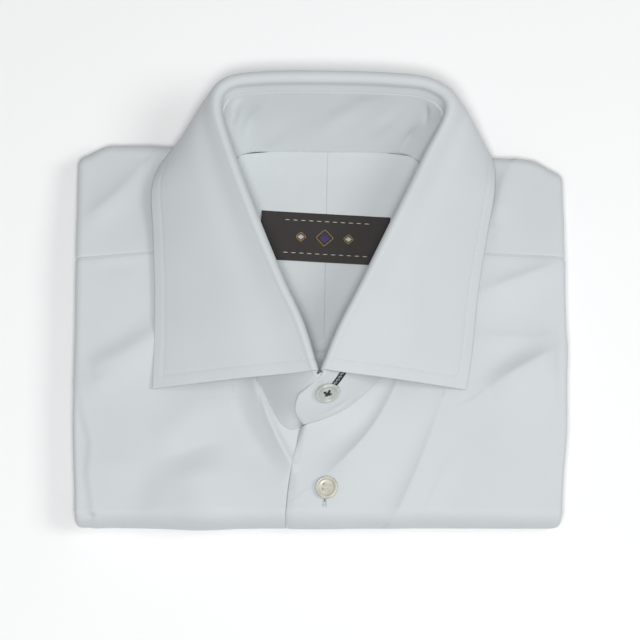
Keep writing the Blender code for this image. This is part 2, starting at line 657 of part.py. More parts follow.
def make_hidden_layers(material):
    """Sleeves, folded sides, the rest of the fronts and back and the tail, as one stack."""
    front = FRONT_EDGE + FRONT_ROLL
    reach = HALF_WIDTH - SIDE_ROLL - STACK_INSET
    across = np.linspace(-reach, reach, 23)
    rings = [stack_ring(x, 28, 7, 5) for x in across]
    count = len(rings[0])
    points = list(rings)
    faces = grid_faces(len(rings), count)
    for i in range(len(rings) - 1):
        a = i * count + count - 1
        faces.append((a, i * count, (i + 1) * count, a + count))
    total = len(rings) * count
    for end, ring in ((0, rings[0]), (len(rings) - 1, rings[-1])):
        sign = -1 if end == 0 else 1
        centre = ring.copy()
        centre[:, 1] = np.clip(ring[:, 1], front, stack_far(across[end]) - 4.0)
        centre[:, 2] = MID_HEIGHT
        previous = end * count
        for share in SIDE_SHARES:
            level = ring + (centre - ring) * share
            depth = np.linalg.norm(level - ring, axis=1)
            below = (ring[:, 2] < MID_HEIGHT) & (ring[:, 1] > front)
            free = below | (depth > WRAPPED_DEPTH)
            taper = 1.0 - 0.7 * fade(ring[:, 1], 62.0, 80.0)
            full = STACK_REACH * layer_edge(share) * taper
            level[:, 0] += sign * full * np.where(free, 1.0, WRAPPED_SHARE)
            points.append(level)
            for j in range(count):
                k = (j + 1) % count
                quad = (previous + j, previous + k, total + k, total + j)
                faces.append(quad[::-1] if sign < 0 else quad)
            previous = total
            total += count
        ends = [previous + j for j in range(count)]
        faces.append(tuple(ends[::-1] if sign < 0 else ends))
    points = drawn_in(np.concatenate(points))
    if signed_volume(points, faces) < 0:
        faces = [face[::-1] for face in faces]
    return new_object("hidden_layers", points, faces, material)


def button_body(name, radius, material):
    """A turned button with a raised rim, a dished face and four thread holes."""
    sides, rings = BUTTON_SIDES, len(BUTTON_PROFILE)
    points, faces = [], []
    for share, height in BUTTON_PROFILE:
        for k in range(sides):
            angle = 2 * math.pi * k / sides
            across = share * radius
            points.append((across * math.cos(angle), across * math.sin(angle), height))
    for i in range(rings - 1):
        for k in range(sides):
            n = (k + 1) % sides
            faces.append((i * sides + k, i * sides + n, (i + 1) * sides + n, (i + 1) * sides + k))
    faces.append(tuple(range(sides))[::-1])
    faces.append(tuple((rings - 1) * sides + k for k in range(sides)))
    item = new_object(name, points, faces, material)
    for x in (-BUTTON_HOLE_SPACING / 2, BUTTON_HOLE_SPACING / 2):
        for y in (-BUTTON_HOLE_SPACING / 2, BUTTON_HOLE_SPACING / 2):
            drill_hole(item, x, y)
    return item


def drill_hole(item, x, y):
    """Cuts one thread hole through a button, before the button is placed."""
    corners, faces, sides = [], [], 8
    for height in (-1.0, BUTTON_HEIGHT + 1.0):
        for k in range(sides):
            angle = 2 * math.pi * k / sides
            px = x + BUTTON_HOLE_RADIUS * math.cos(angle)
            corners.append((px, y + BUTTON_HOLE_RADIUS * math.sin(angle), height))
    for k in range(sides):
        n = (k + 1) % sides
        faces.append((k, n, sides + n, sides + k))
    faces += [tuple(range(sides))[::-1], tuple(range(sides, 2 * sides))]
    cutter = new_object(f"{item.name}_drill", corners, faces, item.data.materials[0])
    cutter.hide_render = True
    cutter.display_type = "WIRE"
    cutter.parent = item
    hole = item.modifiers.new("hole", "BOOLEAN")
    hole.operation = "DIFFERENCE"
    hole.object = cutter


def place_button(item, point, normal):
    """Sets the button on the cloth at point, facing along normal, with its gap."""
    normal = np.asarray(normal, float) / np.linalg.norm(normal)
    item.location = [float(c) * MM for c in np.asarray(point) + normal * GAP]
    turned = Vector(normal).to_track_quat("Z", "Y")
    item.rotation_mode = "QUATERNION"
    item.rotation_quaternion = turned


def make_collar_button(material):
    """The button of the band, which comes through the tab."""
    rows = along_rows(band_rows(), 400)
    tab = rows[200:][rows[200:, 1] < 0]
    nearest = np.argmin(np.abs(tab[:, 0] - COLLAR_BUTTON_PLACE))
    foot, top = tab[nearest, :3], tab[nearest, 3:]
    normal = np.cross(tab[-1, :3] - tab[nearest, :3], top - foot)
    normal *= np.sign(normal[2]) / np.linalg.norm(normal)
    middle = foot + (top - foot) * COLLAR_BUTTON_RISE + normal * COLLAR_BUTTON_STAND
    place_button(button_body("button_collar", COLLAR_BUTTON_RADIUS, material), middle, normal)


def make_front_button(material):
    x, y = FRONT_BUTTON
    reach = FRONT_BUTTON_RADIUS - 1.0
    near = np.array([(x + dx, y + dy) for dx in (-reach, 0, reach) for dy in (-reach, 0, reach)])
    lifts = overlap_lift(near[:, 0], near[:, 1])
    points = on_body(near[:, 0], near[:, 1], lifts)
    slope_x = (points[6:, 2].mean() - points[:3, 2].mean()) / (2 * reach)
    slope_y = (points[2::3, 2].mean() - points[::3, 2].mean()) / (2 * reach)
    normal = np.array([-slope_x, -slope_y, 1.0])
    plane = points[4, 2] + slope_x * (near[:, 0] - x) + slope_y * (near[:, 1] - y)
    high = max(0.0, float((points[:, 2] - plane).max()))
    button = button_body("button_front", FRONT_BUTTON_RADIUS, material)
    place_button(button, points[4] + [0.0, 0.0, high], normal)


def clear_scene():
    for item in list(bpy.data.objects):
        bpy.data.objects.remove(item, do_unlink=True)


def main():
    clear_scene()
    white = cloth("white twill", (0.80, 0.82, 0.83))
    shade = cloth("white twill in shade", (0.74, 0.76, 0.77))
    woven = cloth("brown woven label", (0.03, 0.02, 0.02), 0.7)
    shell = cloth("cream shell", (0.72, 0.71, 0.62), 0.3)
    pale_shell = cloth("grey green shell", (0.62, 0.66, 0.60), 0.3)
    make_hidden_layers(shade)
    for side in (-1, 1):
        make_front(side, white)
        make_yoke_outer(side, white)
        make_yoke_inner(side, white)
    make_back(shade)
    make_collar_leaf(white)
    make_collar_stand(white)
    make_label(woven)
    make_collar_button(pale_shell)
    make_front_button(shell)


main()
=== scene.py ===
"""The looks of the folded dress shirt: fine shells of cloth on the forms of its solids,
their creases, stitching, buttonholes, buttons and label, and the studio round them.

Tables and lengths are in millimetres, and finished meshes are written in metres.
"""

import math
import bpy
import numpy as np
from mathutils import Matrix, Vector


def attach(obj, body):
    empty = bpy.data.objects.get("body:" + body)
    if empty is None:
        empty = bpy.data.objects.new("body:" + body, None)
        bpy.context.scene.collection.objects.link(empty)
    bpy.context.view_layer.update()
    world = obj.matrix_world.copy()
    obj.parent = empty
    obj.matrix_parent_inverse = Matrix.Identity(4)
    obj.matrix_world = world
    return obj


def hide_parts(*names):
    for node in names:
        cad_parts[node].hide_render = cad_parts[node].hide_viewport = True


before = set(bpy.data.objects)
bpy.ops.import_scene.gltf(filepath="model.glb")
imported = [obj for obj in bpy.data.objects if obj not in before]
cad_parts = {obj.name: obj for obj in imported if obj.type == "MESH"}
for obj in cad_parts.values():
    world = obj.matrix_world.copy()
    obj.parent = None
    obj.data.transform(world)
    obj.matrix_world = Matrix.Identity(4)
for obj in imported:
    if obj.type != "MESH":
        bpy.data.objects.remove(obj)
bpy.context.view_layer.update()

MM = 0.001
UP = (0.0, 0.0, 1.0)

# The camera, a long lens 15 degrees off straight down, and the frame it takes in.
CAMERA_TILT = math.radians(75)
CAMERA_DISTANCE = 1800.0
CAMERA_AIM = (0.0, 7.4, 20.0)
FRAME_WIDTH = 320.0
SENSOR = 36.0

# Overall size of the folded body.
HALF_WIDTH = 122.7
FRONT_EDGE = -96.9
SHOULDER_EDGE = 96.8
SHOULDER_SKEW = 0.036
SHOULDER_CORNER = 7.0
SHOULDER_CORNER_FROM = 106.0
BODY_HEIGHT = 26.0
MID_HEIGHT = BODY_HEIGHT / 2
SHOULDER_HEIGHT = 19.5

# How far each side draws in towards the fold at the front, and where it begins and ends.
DRAWN_IN = {-1: 1.8, 1: 3.6}
DRAWN_FROM = 40.0
DRAWN_TO = 95.0

# Rolled edges: one bundle of layers at the sides, the whole stack at the front.
SIDE_ROLL = 3.6
FRONT_ROLL = 7.0
SHOULDER_ROLL = 5.5
SIDE_WRAP = math.radians(150)
FRONT_WRAP = math.radians(168)
SHOULDER_WRAP = math.radians(105)
FOLD_RATE = 0.62

# Thickness of each piece, with its plies.
CLOTH = 0.9
BAND = 1.7
LEAF = 1.5
LABEL = 0.6

# Lengths that the grids of points are laid out for.
NECK_EDGE = 110.0
FRONT_RUN = 130.0
YOKE_RUN = 70.0
WELL_WIDTH = 50.0
LEAF_LENGTH = 470.0
LEAF_WIDTH = 76.0
BAND_LENGTH = 520.0
BAND_WIDTH = 36.0

# The buttoned opening.
OVERLAP_LIFT = 1.1
OVERLAP_FROM = 6.0
OVERLAP_TO = 26.0
EDGE_LIFT = 0.15
UNDERLAP_SINK = 0.85
PLACKET_BOW = -3.5
CORNER_DROP = 5.0
PLACKET_TOP = (-10.2, -49.6)
PLACKET_FOOT = -17.0
UNDERLAP_FOOT = 9.5
OPENING_TOP = {
    -1: ((8.0, -40.5, 25.0), (-4.0, -46.0, 26.2)),
    1: ((-7.8, -49.2, 31.8), (4.0, -45.4, 32.0)),
}

# The well inside the collar, and how the cloth settles towards the neck seam.
WELL_FLOOR = 15.9
BACK_FRONT = -46.0
YOKE_INNER_TOP = 18.2
YOKE_INNER_SEAM = -2.7
YOKE_INNER_BACK = 95.6
CENTRE_SEAM_BACK = 3.7
CENTRE_SEAM_FRONT = 2.0
BACK_BULGE = 6.0
NECK_MIDDLE = np.array([3.0, 30.0])
NECK_LAP = 0.8
YOKE_CLEARANCE = 2.0
NECK_SETTLE = 9.0

# Stitching: how far in it runs and how deep it draws the cloth.
LEAF_STITCH = 6.0
LEAF_GROOVE = 0.16
BAND_STITCH = 1.3
SEAM_GAP = -0.1
TUCK = 1.4
TUCK_DEPTH = 0.5

# The collar, a row for each section round the neck, from the viewer's left front to the
# right: neck seam, inner side of the fold, how far below it the leaf is sewn to the band,
# radius of the fold, direction in plan in which the leaf rolls over, and its outer edge.
COLLAR = (
    ("left front", -15.0, -50.5, 28.0, -1.3, -27.0, 52.0, 1.2, 1.9, 184, -83.2, -30.0, 27.6),
    ("left breast", -29.0, -29.0, 27.5, -8.2, -4.0, 53.6, 3.4, 2.4, 181, -82.6, -10.0, 28.0),
    ("left low", -44.0, 3.0, 26.5, -17.8, 18.0, 53.8, 3.4, 2.7, 180, -82.4, 18.0, 28.4),
    ("left mid", -54.0, 35.0, 25.0, -30.4, 49.6, 53.4, 3.4, 3.0, 180, -83.4, 48.0, 29.2),
    ("left high", -57.0, 63.0, 23.0, -43.6, 86.0, 52.4, 3.4, 3.0, 172, -83.6, 77.0, 28.4),
    ("left corner", -50.0, 84.0, 21.0, -49.4, 107.4, 51.2, 3.4, 3.2, 155, -73.8, 95.0, 21.5),
    ("left turn", -39.0, 94.0, 20.0, -45.0, 118.2, 50.2, 3.4, 3.3, 120, -59.0, 101.9, 14.0),
    ("left back", -22.0, 95.6, 19.6, -28.0, 120.8, 50.5, 3.4, 3.4, 95, -31.0, 103.9, 10.0),
    ("back", 4.0, 95.3, 19.5, 3.5, 121.1, 50.6, 3.4, 3.4, 90, 3.5, 104.2, 9.0),
    ("right back", 30.0, 95.0, 19.6, 35.0, 120.1, 50.5, 3.4, 3.4, 85, 39.0, 103.3, 10.0),
    ("right turn", 46.0, 93.0, 20.0, 54.5, 117.4, 50.4, 3.4, 3.3, 60, 69.0, 100.8, 14.0),
    ("right corner", 57.0, 82.0, 21.0, 62.6, 107.0, 51.4, 3.4, 3.2, 25, 85.6, 92.0, 21.5),
    ("right high", 63.0, 60.0, 23.0, 51.6, 82.6, 52.4, 3.4, 3.0, 8, 87.6, 74.0, 29.0),
    ("right mid", 59.0, 32.0, 25.5, 37.0, 51.6, 53.6, 3.4, 3.0, 0, 83.6, 49.0, 29.2),
    ("right low", 46.0, 2.0, 28.0, 20.4, 17.0, 54.4, 3.4, 2.7, 0, 78.6, 18.0, 28.4),
    ("right breast", 30.0, -25.0, 30.5, 8.6, -7.0, 54.4, 3.4, 2.4, -1, 75.4, -12.0, 28.0),
    ("right front", 14.0, -40.0, 31.6, 0.9, -26.8, 52.8, 1.2, 1.9, -3, 72.6, -30.6, 27.6),
)

# The neck seam alone, and how many of its points come before the one at the back.
NECK_ROOTS = np.array([row[1:4] for row in COLLAR])
NECK_HALF = len(COLLAR) // 2

# The band past both leaves, neck seam and top, how far its end is rounded and from where
# along the band, and how far the leaf laps down over it.
BAND_LEFT_END = (
    ("under end", 12.0, -36.5, 23.4, 14.5, -23.5, 41.0),
    ("under tab", -1.0, -44.4, 24.2, 1.5, -27.0, 50.2),
)
BAND_RIGHT_END = (
    ("tab neck", 4.0, -45.4, 32.2, -2.0, -30.8, 49.6),
    ("tab end", -8.2, -49.2, 32.2, -10.6, -37.0, 45.4),
)
TAB_ROUND = 3.2
TAB_ROUND_FROM = 0.97532
LEAF_LAP = 0.9

# The seam between each front and the yoke: where it meets the neck, and y at the side.
YOKE_SEAM = {-1: (-56.5, 43.0, 37.8), 1: (61.0, 41.0, 38.4)}

# Folds of the fronts and the yoke, each a curve from its start past its middle point to
# its end. A ridge has a height above 0, and a hollow one below. Each has a width on its
# left and on its right, seen on the way, and a width below 0 is a side that drops straight
# from the crest. An end that is open, from 0 to 1, runs on, and a shut one dies away.
#    name                 start x, y      middle x, y    end x, y     height left right open ends
FOLDS = (
    ("left lip", -31.0, -27.0, -27.0, -47.5, -14.2, -68.5, 4.4, 3.0, -5.0, 1.0, 0.7),
    ("left lip shade", -42.0, -34.0, -37.0, -56.0, -18.0, -76.0, -2.6, 6.0, 8.0, 0.6, 0.3),
    ("right neck ridge", 14.0, -48.0, 24.0, -44.0, 36.0, -28.0, 0.7, 4.0, 5.0, 0.4, 1.0),
    ("right main fold", 39.0, -25.0, 27.0, -58.0, -1.0, -77.0, 6.6, 18.0, -6.8, 1.0, 0.1),
    ("right second fold", 60.0, -36.0, 50.5, -71.8, 36.0, -99.0, 3.1, 9.0, -5.0, 0.4, 1.0),
    ("right third fold", 66.0, -60.0, 61.0, -76.0, 52.0, -94.0, 1.3, 6.0, -3.5, 0.2, 0.5),
    ("right side fold", 124.0, -6.0, 102.0, -18.0, 83.0, -29.5, 6.0, 15.0, -8.0, 1.0, 0.2),
    ("right side hollow", 104.0, -6.0, 92.0, -14.0, 78.0, -24.0, -1.4, 6.0, 8.0, 0.4, 0.4),
    ("right level fold", 80.0, -2.4, 98.0, -3.4, 118.0, -2.0, 0.7, -2.4, 7.0, 0.4, 0.6),
    ("right yoke fold", 121.0, 36.0, 101.0, 28.0, 82.0, 21.0, 2.7, 10.0, -4.0, 0.8, 0.3),
    ("left side fold", -114.0, -20.0, -98.0, -15.0, -80.0, -2.0, 3.4, 7.0, 12.0, 0.3, 0.9),
    ("left side dart", -121.0, -24.0, -113.0, -29.0, -102.0, -24.0, 0.9, 3.5, 7.0, 0.9, 0.1),
    ("left long ridge", -58.0, -38.0, -70.0, -50.0, -86.0, -60.0, 1.3, 9.0, 9.0, 0.6, 0.1),
    ("left low hill", -62.0, -60.0, -56.0, -80.0, -60.0, -100.0, 5.0, 16.0, 17.0, 0.1, 0.6),
    ("left low hollow", -90.0, -66.0, -90.0, -82.0, -96.0, -100.0, -2.2, 10.0, 15.0, 0.1, 0.9),
    ("left shoulder fold", -120.0, 60.0, -104.0, 68.0, -90.0, 88.0, 1.9, -4.5, 8.0, 0.6, 0.8),
    ("left yoke dimple", -90.0, 33.0, -100.0, 35.0, -112.0, 33.0, -0.6, 4.0, 3.0, 0.4, 0.1),
    ("right shoulder fold", 88.0, 56.0, 89.0, 72.0, 96.0, 88.0, 2.4, -3.5, 8.0, 0.3, 0.6),
    ("left corner end", -114.6, -95.4, -114.9, -96.2, -115.2, -97.0, -1.8, 2.0, 2.0, 1.0, 1.0),
)
FOLD_SEGMENTS = 24

# The wavering line along each side where the upper layer stops short of the lower ones:
# y and distance from the middle, then how deep it steps down and where it fades out.
EDGE_LINES = {
    -1: ((-98, 113.6), (-86, 114.6), (-72, 116.4), (-56, 114.4), (-40, 118.6), (-26, 119.6)),
    1: ((-98, 118.6), (-86, 118.4), (-78, 116.8), (-62, 115.8), (-40, 117.4), (60, 118.6)),
}
EDGE_DEPTH = {-1: 0.9, 1: 0.6}
EDGE_FADE = {-1: (-22.0, -46.0), 1: (70.0, 10.0)}

# Buttons, buttonholes and label.
COLLAR_BUTTON_RADIUS = 6.2
FRONT_BUTTON_RADIUS = 5.65
#    radius as a share, height
BUTTON_PROFILE = (
    (0.60, 0.0), (0.78, 0.1), (0.93, 0.6), (1.0, 1.3), (0.97, 1.95),
    (0.88, 2.35), (0.79, 2.3), (0.70, 1.85), (0.58, 1.65), (0.35, 1.6),
)
#    share of the way from the middle of a strand to its end, height, share of the rise
#    over another strand, share of its place beside its neighbours
THREAD_PATH = (
    (1.0, -0.5, 0.0, 0.5),
    (0.98, 1.35, 0.0, 0.7),
    (0.72, 1.95, 0.5, 1.0),
    (0.0, 2.05, 1.0, 1.0),
    (-0.72, 1.95, 0.5, 1.0),
    (-0.98, 1.35, 0.0, 0.7),
    (-1.0, -0.5, 0.0, 0.5),
)
HOLE_RADIUS = 0.72
HOLE_SPACING = 2.5
BUTTON_GAP = 0.1
COLLAR_BUTTON_PLACE = 8.6
COLLAR_BUTTON_RISE = 0.655
COLLAR_BUTTON_STAND = 2.0
COLLAR_BUTTON_LEAN = math.radians(18)
CROSSED = (((-1, -1), (1, 1)), ((-1, 1), (1, -1)))
SIDE_BY_SIDE = (((-1, -1), (-1, 1)), ((1, -1), (1, 1)))
THREAD_CROSS_RISE = 0.25
FRONT_BUTTON = (3.4, -80.2)
LABEL_CENTRE = (2.3, 50.4)
LABEL_WIDTH = 65.0
LABEL_DEPTH = 25.5
LABEL_TURN = math.radians(-3.4)

# The dark buttonhole of the tab: how far round the band and along it, and the lines that
# its slit and its two sewn edges follow, from its middle and over the height of the tab.
TAB_HOLE_SHARE = 0.055
TAB_HOLE_LENGTH = 15.0
TAB_HOLE_LINES = (-1.7, -1.05, 0.0, 1.05, 1.7)
TAB_HEIGHT = 22.8

# The upright one of the front, from its button's middle: across, its top, its sewn foot,
# the part of its slit that shows, where a dark sheet is painted as the shade inside it,
# and how far off each sewn edge runs.
FRONT_HOLE_X = -1.0
FRONT_HOLE_TOP = 5.5
FRONT_HOLE_FOOT = -8.6
FRONT_HOLE_SLIT = (-5.6, -7.0)
FRONT_HOLE_EDGE = 0.62

# The hidden layers from the bottom up: half width, reach past the shoulder's start, front
# edge, and a number that makes their unevenness differ. A step parts their points.
LAYER_STEP = 2.2
LAYERS = (
    ("tail", 121.4, 3.4, -85.5, 2.0),
    ("sleeves", 119.8, 2.2, -90.0, 5.0),
    ("sides", 121.2, 3.8, -90.5, 8.0),
    ("fronts", 119.6, 2.6, -87.0, 11.0),
)

# What shows of each sheet: its flat size and area in metres, how it is held and what it
# lies on.
YOKES_OUTER = ["yoke_outer_left", "yoke_outer_right"]
CUTS = {
    "cloth_front_right": ((0.132, 0.167), 0.0178, "folded", ["hidden_layers"]),
    "cloth_front_left": ((0.144, 0.167), 0.0183, "folded", ["hidden_layers", "front_right"]),
    "cloth_yoke_outer_right": ((0.130, 0.075), 0.0049, "folded", ["hidden_layers"]),
    "cloth_yoke_outer_left": ((0.122, 0.075), 0.0042, "folded", ["hidden_layers"]),
    "cloth_yoke_inner_right": ((0.062, 0.100), 0.0055, "laid", ["hidden_layers"]),
    "cloth_yoke_inner_left": ((0.061, 0.100), 0.0055, "laid", ["hidden_layers"]),
    "cloth_back": ((0.088, 0.044), 0.0026, "laid", ["hidden_layers"]),
    "cloth_collar_leaf": ((0.470, 0.090), 0.0275, "folded", ["collar_stand"]),
    "cloth_collar_stand": ((0.500, 0.042), 0.0160, "folded", YOKES_OUTER),
    "cloth_hidden_layers": ((0.60, 0.38), 0.2280, "folded", []),
    "cloth_label": ((0.065, 0.0255), None, "laid", ["yoke_inner_left", "yoke_inner_right"]),
}

# Soft wrinkles of the band: place round it and up it as shares, length, width, height and
# slope.
BAND_WRINKLES = (
    ("left upper", 0.408, 0.78, 8.0, 2.4, 1.2, 55.0),
    ("left lower", 0.424, 0.52, 9.0, 3.0, -1.3, 52.0),
    ("left of middle", 0.452, 0.30, 10.0, 4.0, 0.8, 40.0),
    ("middle", 0.520, 0.58, 17.0, 5.0, -1.3, 40.0),
    ("right of middle", 0.560, 0.45, 13.0, 4.0, 0.9, 42.0),
    ("right upper", 0.612, 0.74, 5.0, 2.2, -1.7, 100.0),
    ("right lower", 0.597, 0.30, 6.5, 2.2, -1.6, 62.0),
    ("tab", 0.945, 0.16, 10.0, 1.2, 0.6, -4.0),
)


def fade(value, start, end):
    """0 before start, 1 after end, and smooth between them."""
    t = np.clip((value - start) / (end - start), 0.0, 1.0)
    return t * t * (3.0 - 2.0 * t)


def bell(value, width):
    """1 where the value is 0, falling away on both sides over a width."""
    return np.exp(-((value / width) ** 2))


def unit(vectors):
    """The vectors at a length of 1."""
    return vectors / np.maximum(np.linalg.norm(vectors, axis=-1, keepdims=True), 1e-9)


def along_rows(rows, places):
    """A smooth curve through rows of numbers, at places from 0 to 1 or at a count of them."""
    rows = np.asarray(rows, float)
    steps = np.linalg.norm(np.diff(rows, axis=0), axis=1) ** 0.5
    knots = np.concatenate([[0.0], np.cumsum(steps)])
    slopes = np.gradient(rows, knots, axis=0)
    if np.isscalar(places):
        places = np.linspace(0.0, 1.0, places)
    places = np.asarray(places) * knots[-1]
    span = np.clip(np.searchsorted(knots, places, side="right") - 1, 0, len(rows) - 2)
    width = (knots[span + 1] - knots[span])[:, None]
    t = (places - knots[span])[:, None] / width
    leave, reach = slopes[span] * width, slopes[span + 1] * width
    return (
        (2 * t**3 - 3 * t**2 + 1) * rows[span]
        + (t**3 - 2 * t**2 + t) * leave
        + (3 * t**2 - 2 * t**3) * rows[span + 1]
        + (t**3 - t**2) * reach
    )


def relief(x, y):
    """Height of the soft folds above the plain body at points of the flat cloth."""
    total = np.zeros(np.broadcast(x, y).shape)
    t = np.linspace(0.0, 1.0, FOLD_SEGMENTS + 1)
    for _, x0, y0, x1, y1, x2, y2, height, left, right, open_start, open_end in FOLDS:
        nearest = np.full(total.shape, np.inf)
        place, width = np.zeros(total.shape), np.ones(total.shape)
        px = (1 - t) ** 2 * x0 + 2 * t * (1 - t) * x1 + t * t * x2
        py = (1 - t) ** 2 * y0 + 2 * t * (1 - t) * y1 + t * t * y2
        for k in range(FOLD_SEGMENTS):
            dx, dy = px[k + 1] - px[k], py[k + 1] - py[k]
            along = ((x - px[k]) * dx + (y - py[k]) * dy) / (dx * dx + dy * dy)
            along = np.clip(along, 0.0, 1.0)
            over = dx * (y - py[k]) - dy * (x - px[k])
            gap = (x - px[k] - along * dx) ** 2 + (y - py[k] - along * dy) ** 2
            place = np.where(gap < nearest, (k + along) / FOLD_SEGMENTS, place)
            width = np.where(gap < nearest, np.where(over > 0, left, right), width)
            nearest = np.minimum(nearest, gap)
        ends = fade(place, -0.8 * open_start, 0.4) * fade(1 - place, -0.8 * open_end, 0.4)
        round_side = np.exp(-nearest / width**2)
        sharp_side = np.exp(-(np.sqrt(nearest + 0.3) - math.sqrt(0.3)) / np.abs(width))
        total += height * ends * np.where(width > 0, round_side, sharp_side)
    return total * (1 - 0.8 * fade(np.abs(x), 110.0, 122.0)) + side_steps(x, y)


def side_steps(x, y):
    """The step down at each side where the upper layer stops short of those below."""
    total = np.zeros(np.broadcast(x, y).shape)
    for side, line in EDGE_LINES.items():
        places = np.array(line, float)
        past = side * x - np.interp(y, places[:, 0], places[:, 1])
        step = -EDGE_DEPTH[side] * fade(past, -1.4, 2.4) * (1 - fade(side * x, 118.8, 122.5))
        lip = 0.15 * bell(past + 2.0, 1.6)
        total += (step + lip) * fade(-y, -EDGE_FADE[side][0], -EDGE_FADE[side][1])
    return total


def ripple(x, y, seed, size):
    """Gentle unevenness of cloth that has been folded by hand, between -1 and 1."""
    total = np.zeros(np.broadcast(x, y).shape)
    for k in range(1, 6):
        angle = seed * 1.7 + k * 2.399
        rate = (0.6 + 0.37 * k) / size
        total += np.sin((x * math.cos(angle) + y * math.sin(angle)) * rate + seed * k) / (k + 1)
    return total / 1.45


def body_height(x, y):
    """Height of the upper layer, which falls a little to the shoulders and the sides."""
    shoulders = (BODY_HEIGHT - SHOULDER_HEIGHT) * fade(y, 34.0, 104.0)
    sides = 1.6 * fade(np.abs(x), 86.0, 119.0)
    middle = 0.7 * bell(x, 60.0) * bell(y + 60.0, 40.0)
    return BODY_HEIGHT - shoulders - sides + middle


def drawn_in(points):
    """The points with both sides of the body drawn in towards the fold at the front."""
    by = fade(-points[..., 1], DRAWN_FROM, DRAWN_TO)
    side = np.where(points[..., 0] < 0, DRAWN_IN[-1], DRAWN_IN[1])
    points[..., 0] *= 1.0 - by * side / HALF_WIDTH
    return points


def round_front(y):
    """0 on top of the body, rising to 1 as the cloth passes under the fold at the front."""
    start = FRONT_EDGE + FRONT_ROLL
    return fade(start - y, 0.0, FRONT_ROLL * FRONT_WRAP / FOLD_RATE)


def shoulder_start(x):
    """Where the cloth begins to turn down over the shoulder, which runs a little askew."""
    corner = SHOULDER_CORNER * fade(np.abs(x), SHOULDER_CORNER_FROM, HALF_WIDTH)
    return SHOULDER_EDGE - SHOULDER_SKEW * x - corner - SHOULDER_ROLL


def flat_y(x, y):
    """The place on the flat cloth of a point at y, past the shoulder roll's start too."""
    start = shoulder_start(x)
    turned = np.arcsin(np.clip((y - start) / SHOULDER_ROLL, 0.0, 0.99))
    return np.where(y > start, start + SHOULDER_ROLL * turned, y)


def on_body(x, y, lift):
    """Points of the folded body over points of the flat cloth, lifted off its face."""
    x, y, lift = np.broadcast_arrays(np.asarray(x, float), y, lift)
    small = 0.22 * ripple(x, y, 1.0, 17.0) + 0.1 * ripple(x, y, 4.0, 6.0)
    lift = lift + (relief(x, y) + small) * (1.0 - 0.8 * round_front(y))
    core = HALF_WIDTH - SIDE_ROLL
    turn = np.clip((np.abs(x) - core) / SIDE_ROLL, 0.0, SIDE_WRAP)
    reach = np.where(turn > 0, core + (SIDE_ROLL + lift) * np.sin(turn), np.abs(x))
    sunk = SIDE_ROLL - (SIDE_ROLL + lift) * np.cos(turn)
    level = body_height(x, y)

    front = FRONT_EDGE + FRONT_ROLL
    half = level - MID_HEIGHT
    bend = np.clip((front - y) / FRONT_ROLL * FOLD_RATE, 0.0, FRONT_WRAP)
    tall = np.where(bend > math.pi / 2, MID_HEIGHT, half)
    ny, nz = np.sin(bend) / FRONT_ROLL, np.cos(bend) / tall
    length = np.hypot(ny, nz)
    ny, nz = ny / length, nz / length
    near_y = front - FRONT_ROLL * np.sin(bend) + ny * sunk
    near_z = MID_HEIGHT + tall * np.cos(bend) - nz * sunk

    shoulder = shoulder_start(x)
    tip = np.clip((y - shoulder) / SHOULDER_ROLL, 0.0, SHOULDER_WRAP)
    far_y = shoulder + (SHOULDER_ROLL - sunk) * np.sin(tip)
    far_z = level - SHOULDER_ROLL + (SHOULDER_ROLL - sunk) * np.cos(tip)

    out_y = np.where(y < front, near_y, np.where(y > shoulder, far_y, y))
    out_z = np.where(y < front, near_z, np.where(y > shoulder, far_z, level - sunk))
    return drawn_in(np.stack([np.sign(x) * reach, out_y, out_z], axis=-1))


def fine_ends(length, step, edge=1.2, margin=0.0):
    """Shares of a length with even steps between close ones at both ends, for round rims.

    A margin is a strip along both ends with steps of half a millimetre.
    """
    close = np.array([0.0, 0.08, 0.25, 0.5, 0.8]) * edge
    if margin:
        close = np.concatenate([close, np.arange(edge, margin, 0.5)])
        edge = margin
    count = max(2, int(round((length - 2 * edge) / step)) + 1)
    middle = np.linspace(edge, length - edge, count)
    return np.concatenate([close, middle, length - close[::-1]]) / length


def surface_normals(grid):
    return unit(np.cross(np.gradient(grid, axis=0), np.gradient(grid, axis=1)))


def rim_distance(grid):
    """Distance of each grid point from the nearest rim, along the grid's own lines."""
    across, (down, to_end) = across_distance(grid), end_distance(grid)
    return np.minimum(np.minimum(across, across[:, -1:] - across), np.minimum(down, to_end))


def linked(name, data):
    """A new object in the scene."""
    made = bpy.data.objects.new(name, data)
    bpy.context.scene.collection.objects.link(made)
    return made


def select_only(piece):
    bpy.ops.object.select_all(action="DESELECT")
    piece.select_set(True)
    bpy.context.view_layer.objects.active = piece


def face_outward(piece, merge):
    """Turns the faces of a piece outward, and first makes points that meet one."""
    select_only(piece)
    bpy.ops.object.mode_set(mode="EDIT")
    bpy.ops.mesh.select_all(action="SELECT")
    if merge:
        bpy.ops.mesh.remove_doubles(threshold=1e-6)
    bpy.ops.mesh.normals_make_consistent(inside=False)
    bpy.ops.object.mode_set(mode="OBJECT")


def mesh_piece(name, points, faces, material, uv=None, merge=False):
    """A new smooth piece. uv holds the cloth's own coordinates in millimetres."""
    mesh = bpy.data.meshes.new(name)
    mesh.from_pydata((np.reshape(points, (-1, 3)) * MM).tolist(), [], faces)
    if uv is not None:
        layer = mesh.uv_layers.new(name="cloth")
        loops = np.empty(len(mesh.loops), np.int32)
        mesh.loops.foreach_get("vertex_index", loops)
        layer.data.foreach_set("uv", (np.reshape(uv, (-1, 2)) * MM)[loops].ravel())
    mesh.materials.append(material)
    piece = linked(name, mesh)
    face_outward(piece, merge)
    bpy.ops.object.shade_smooth()
    return piece


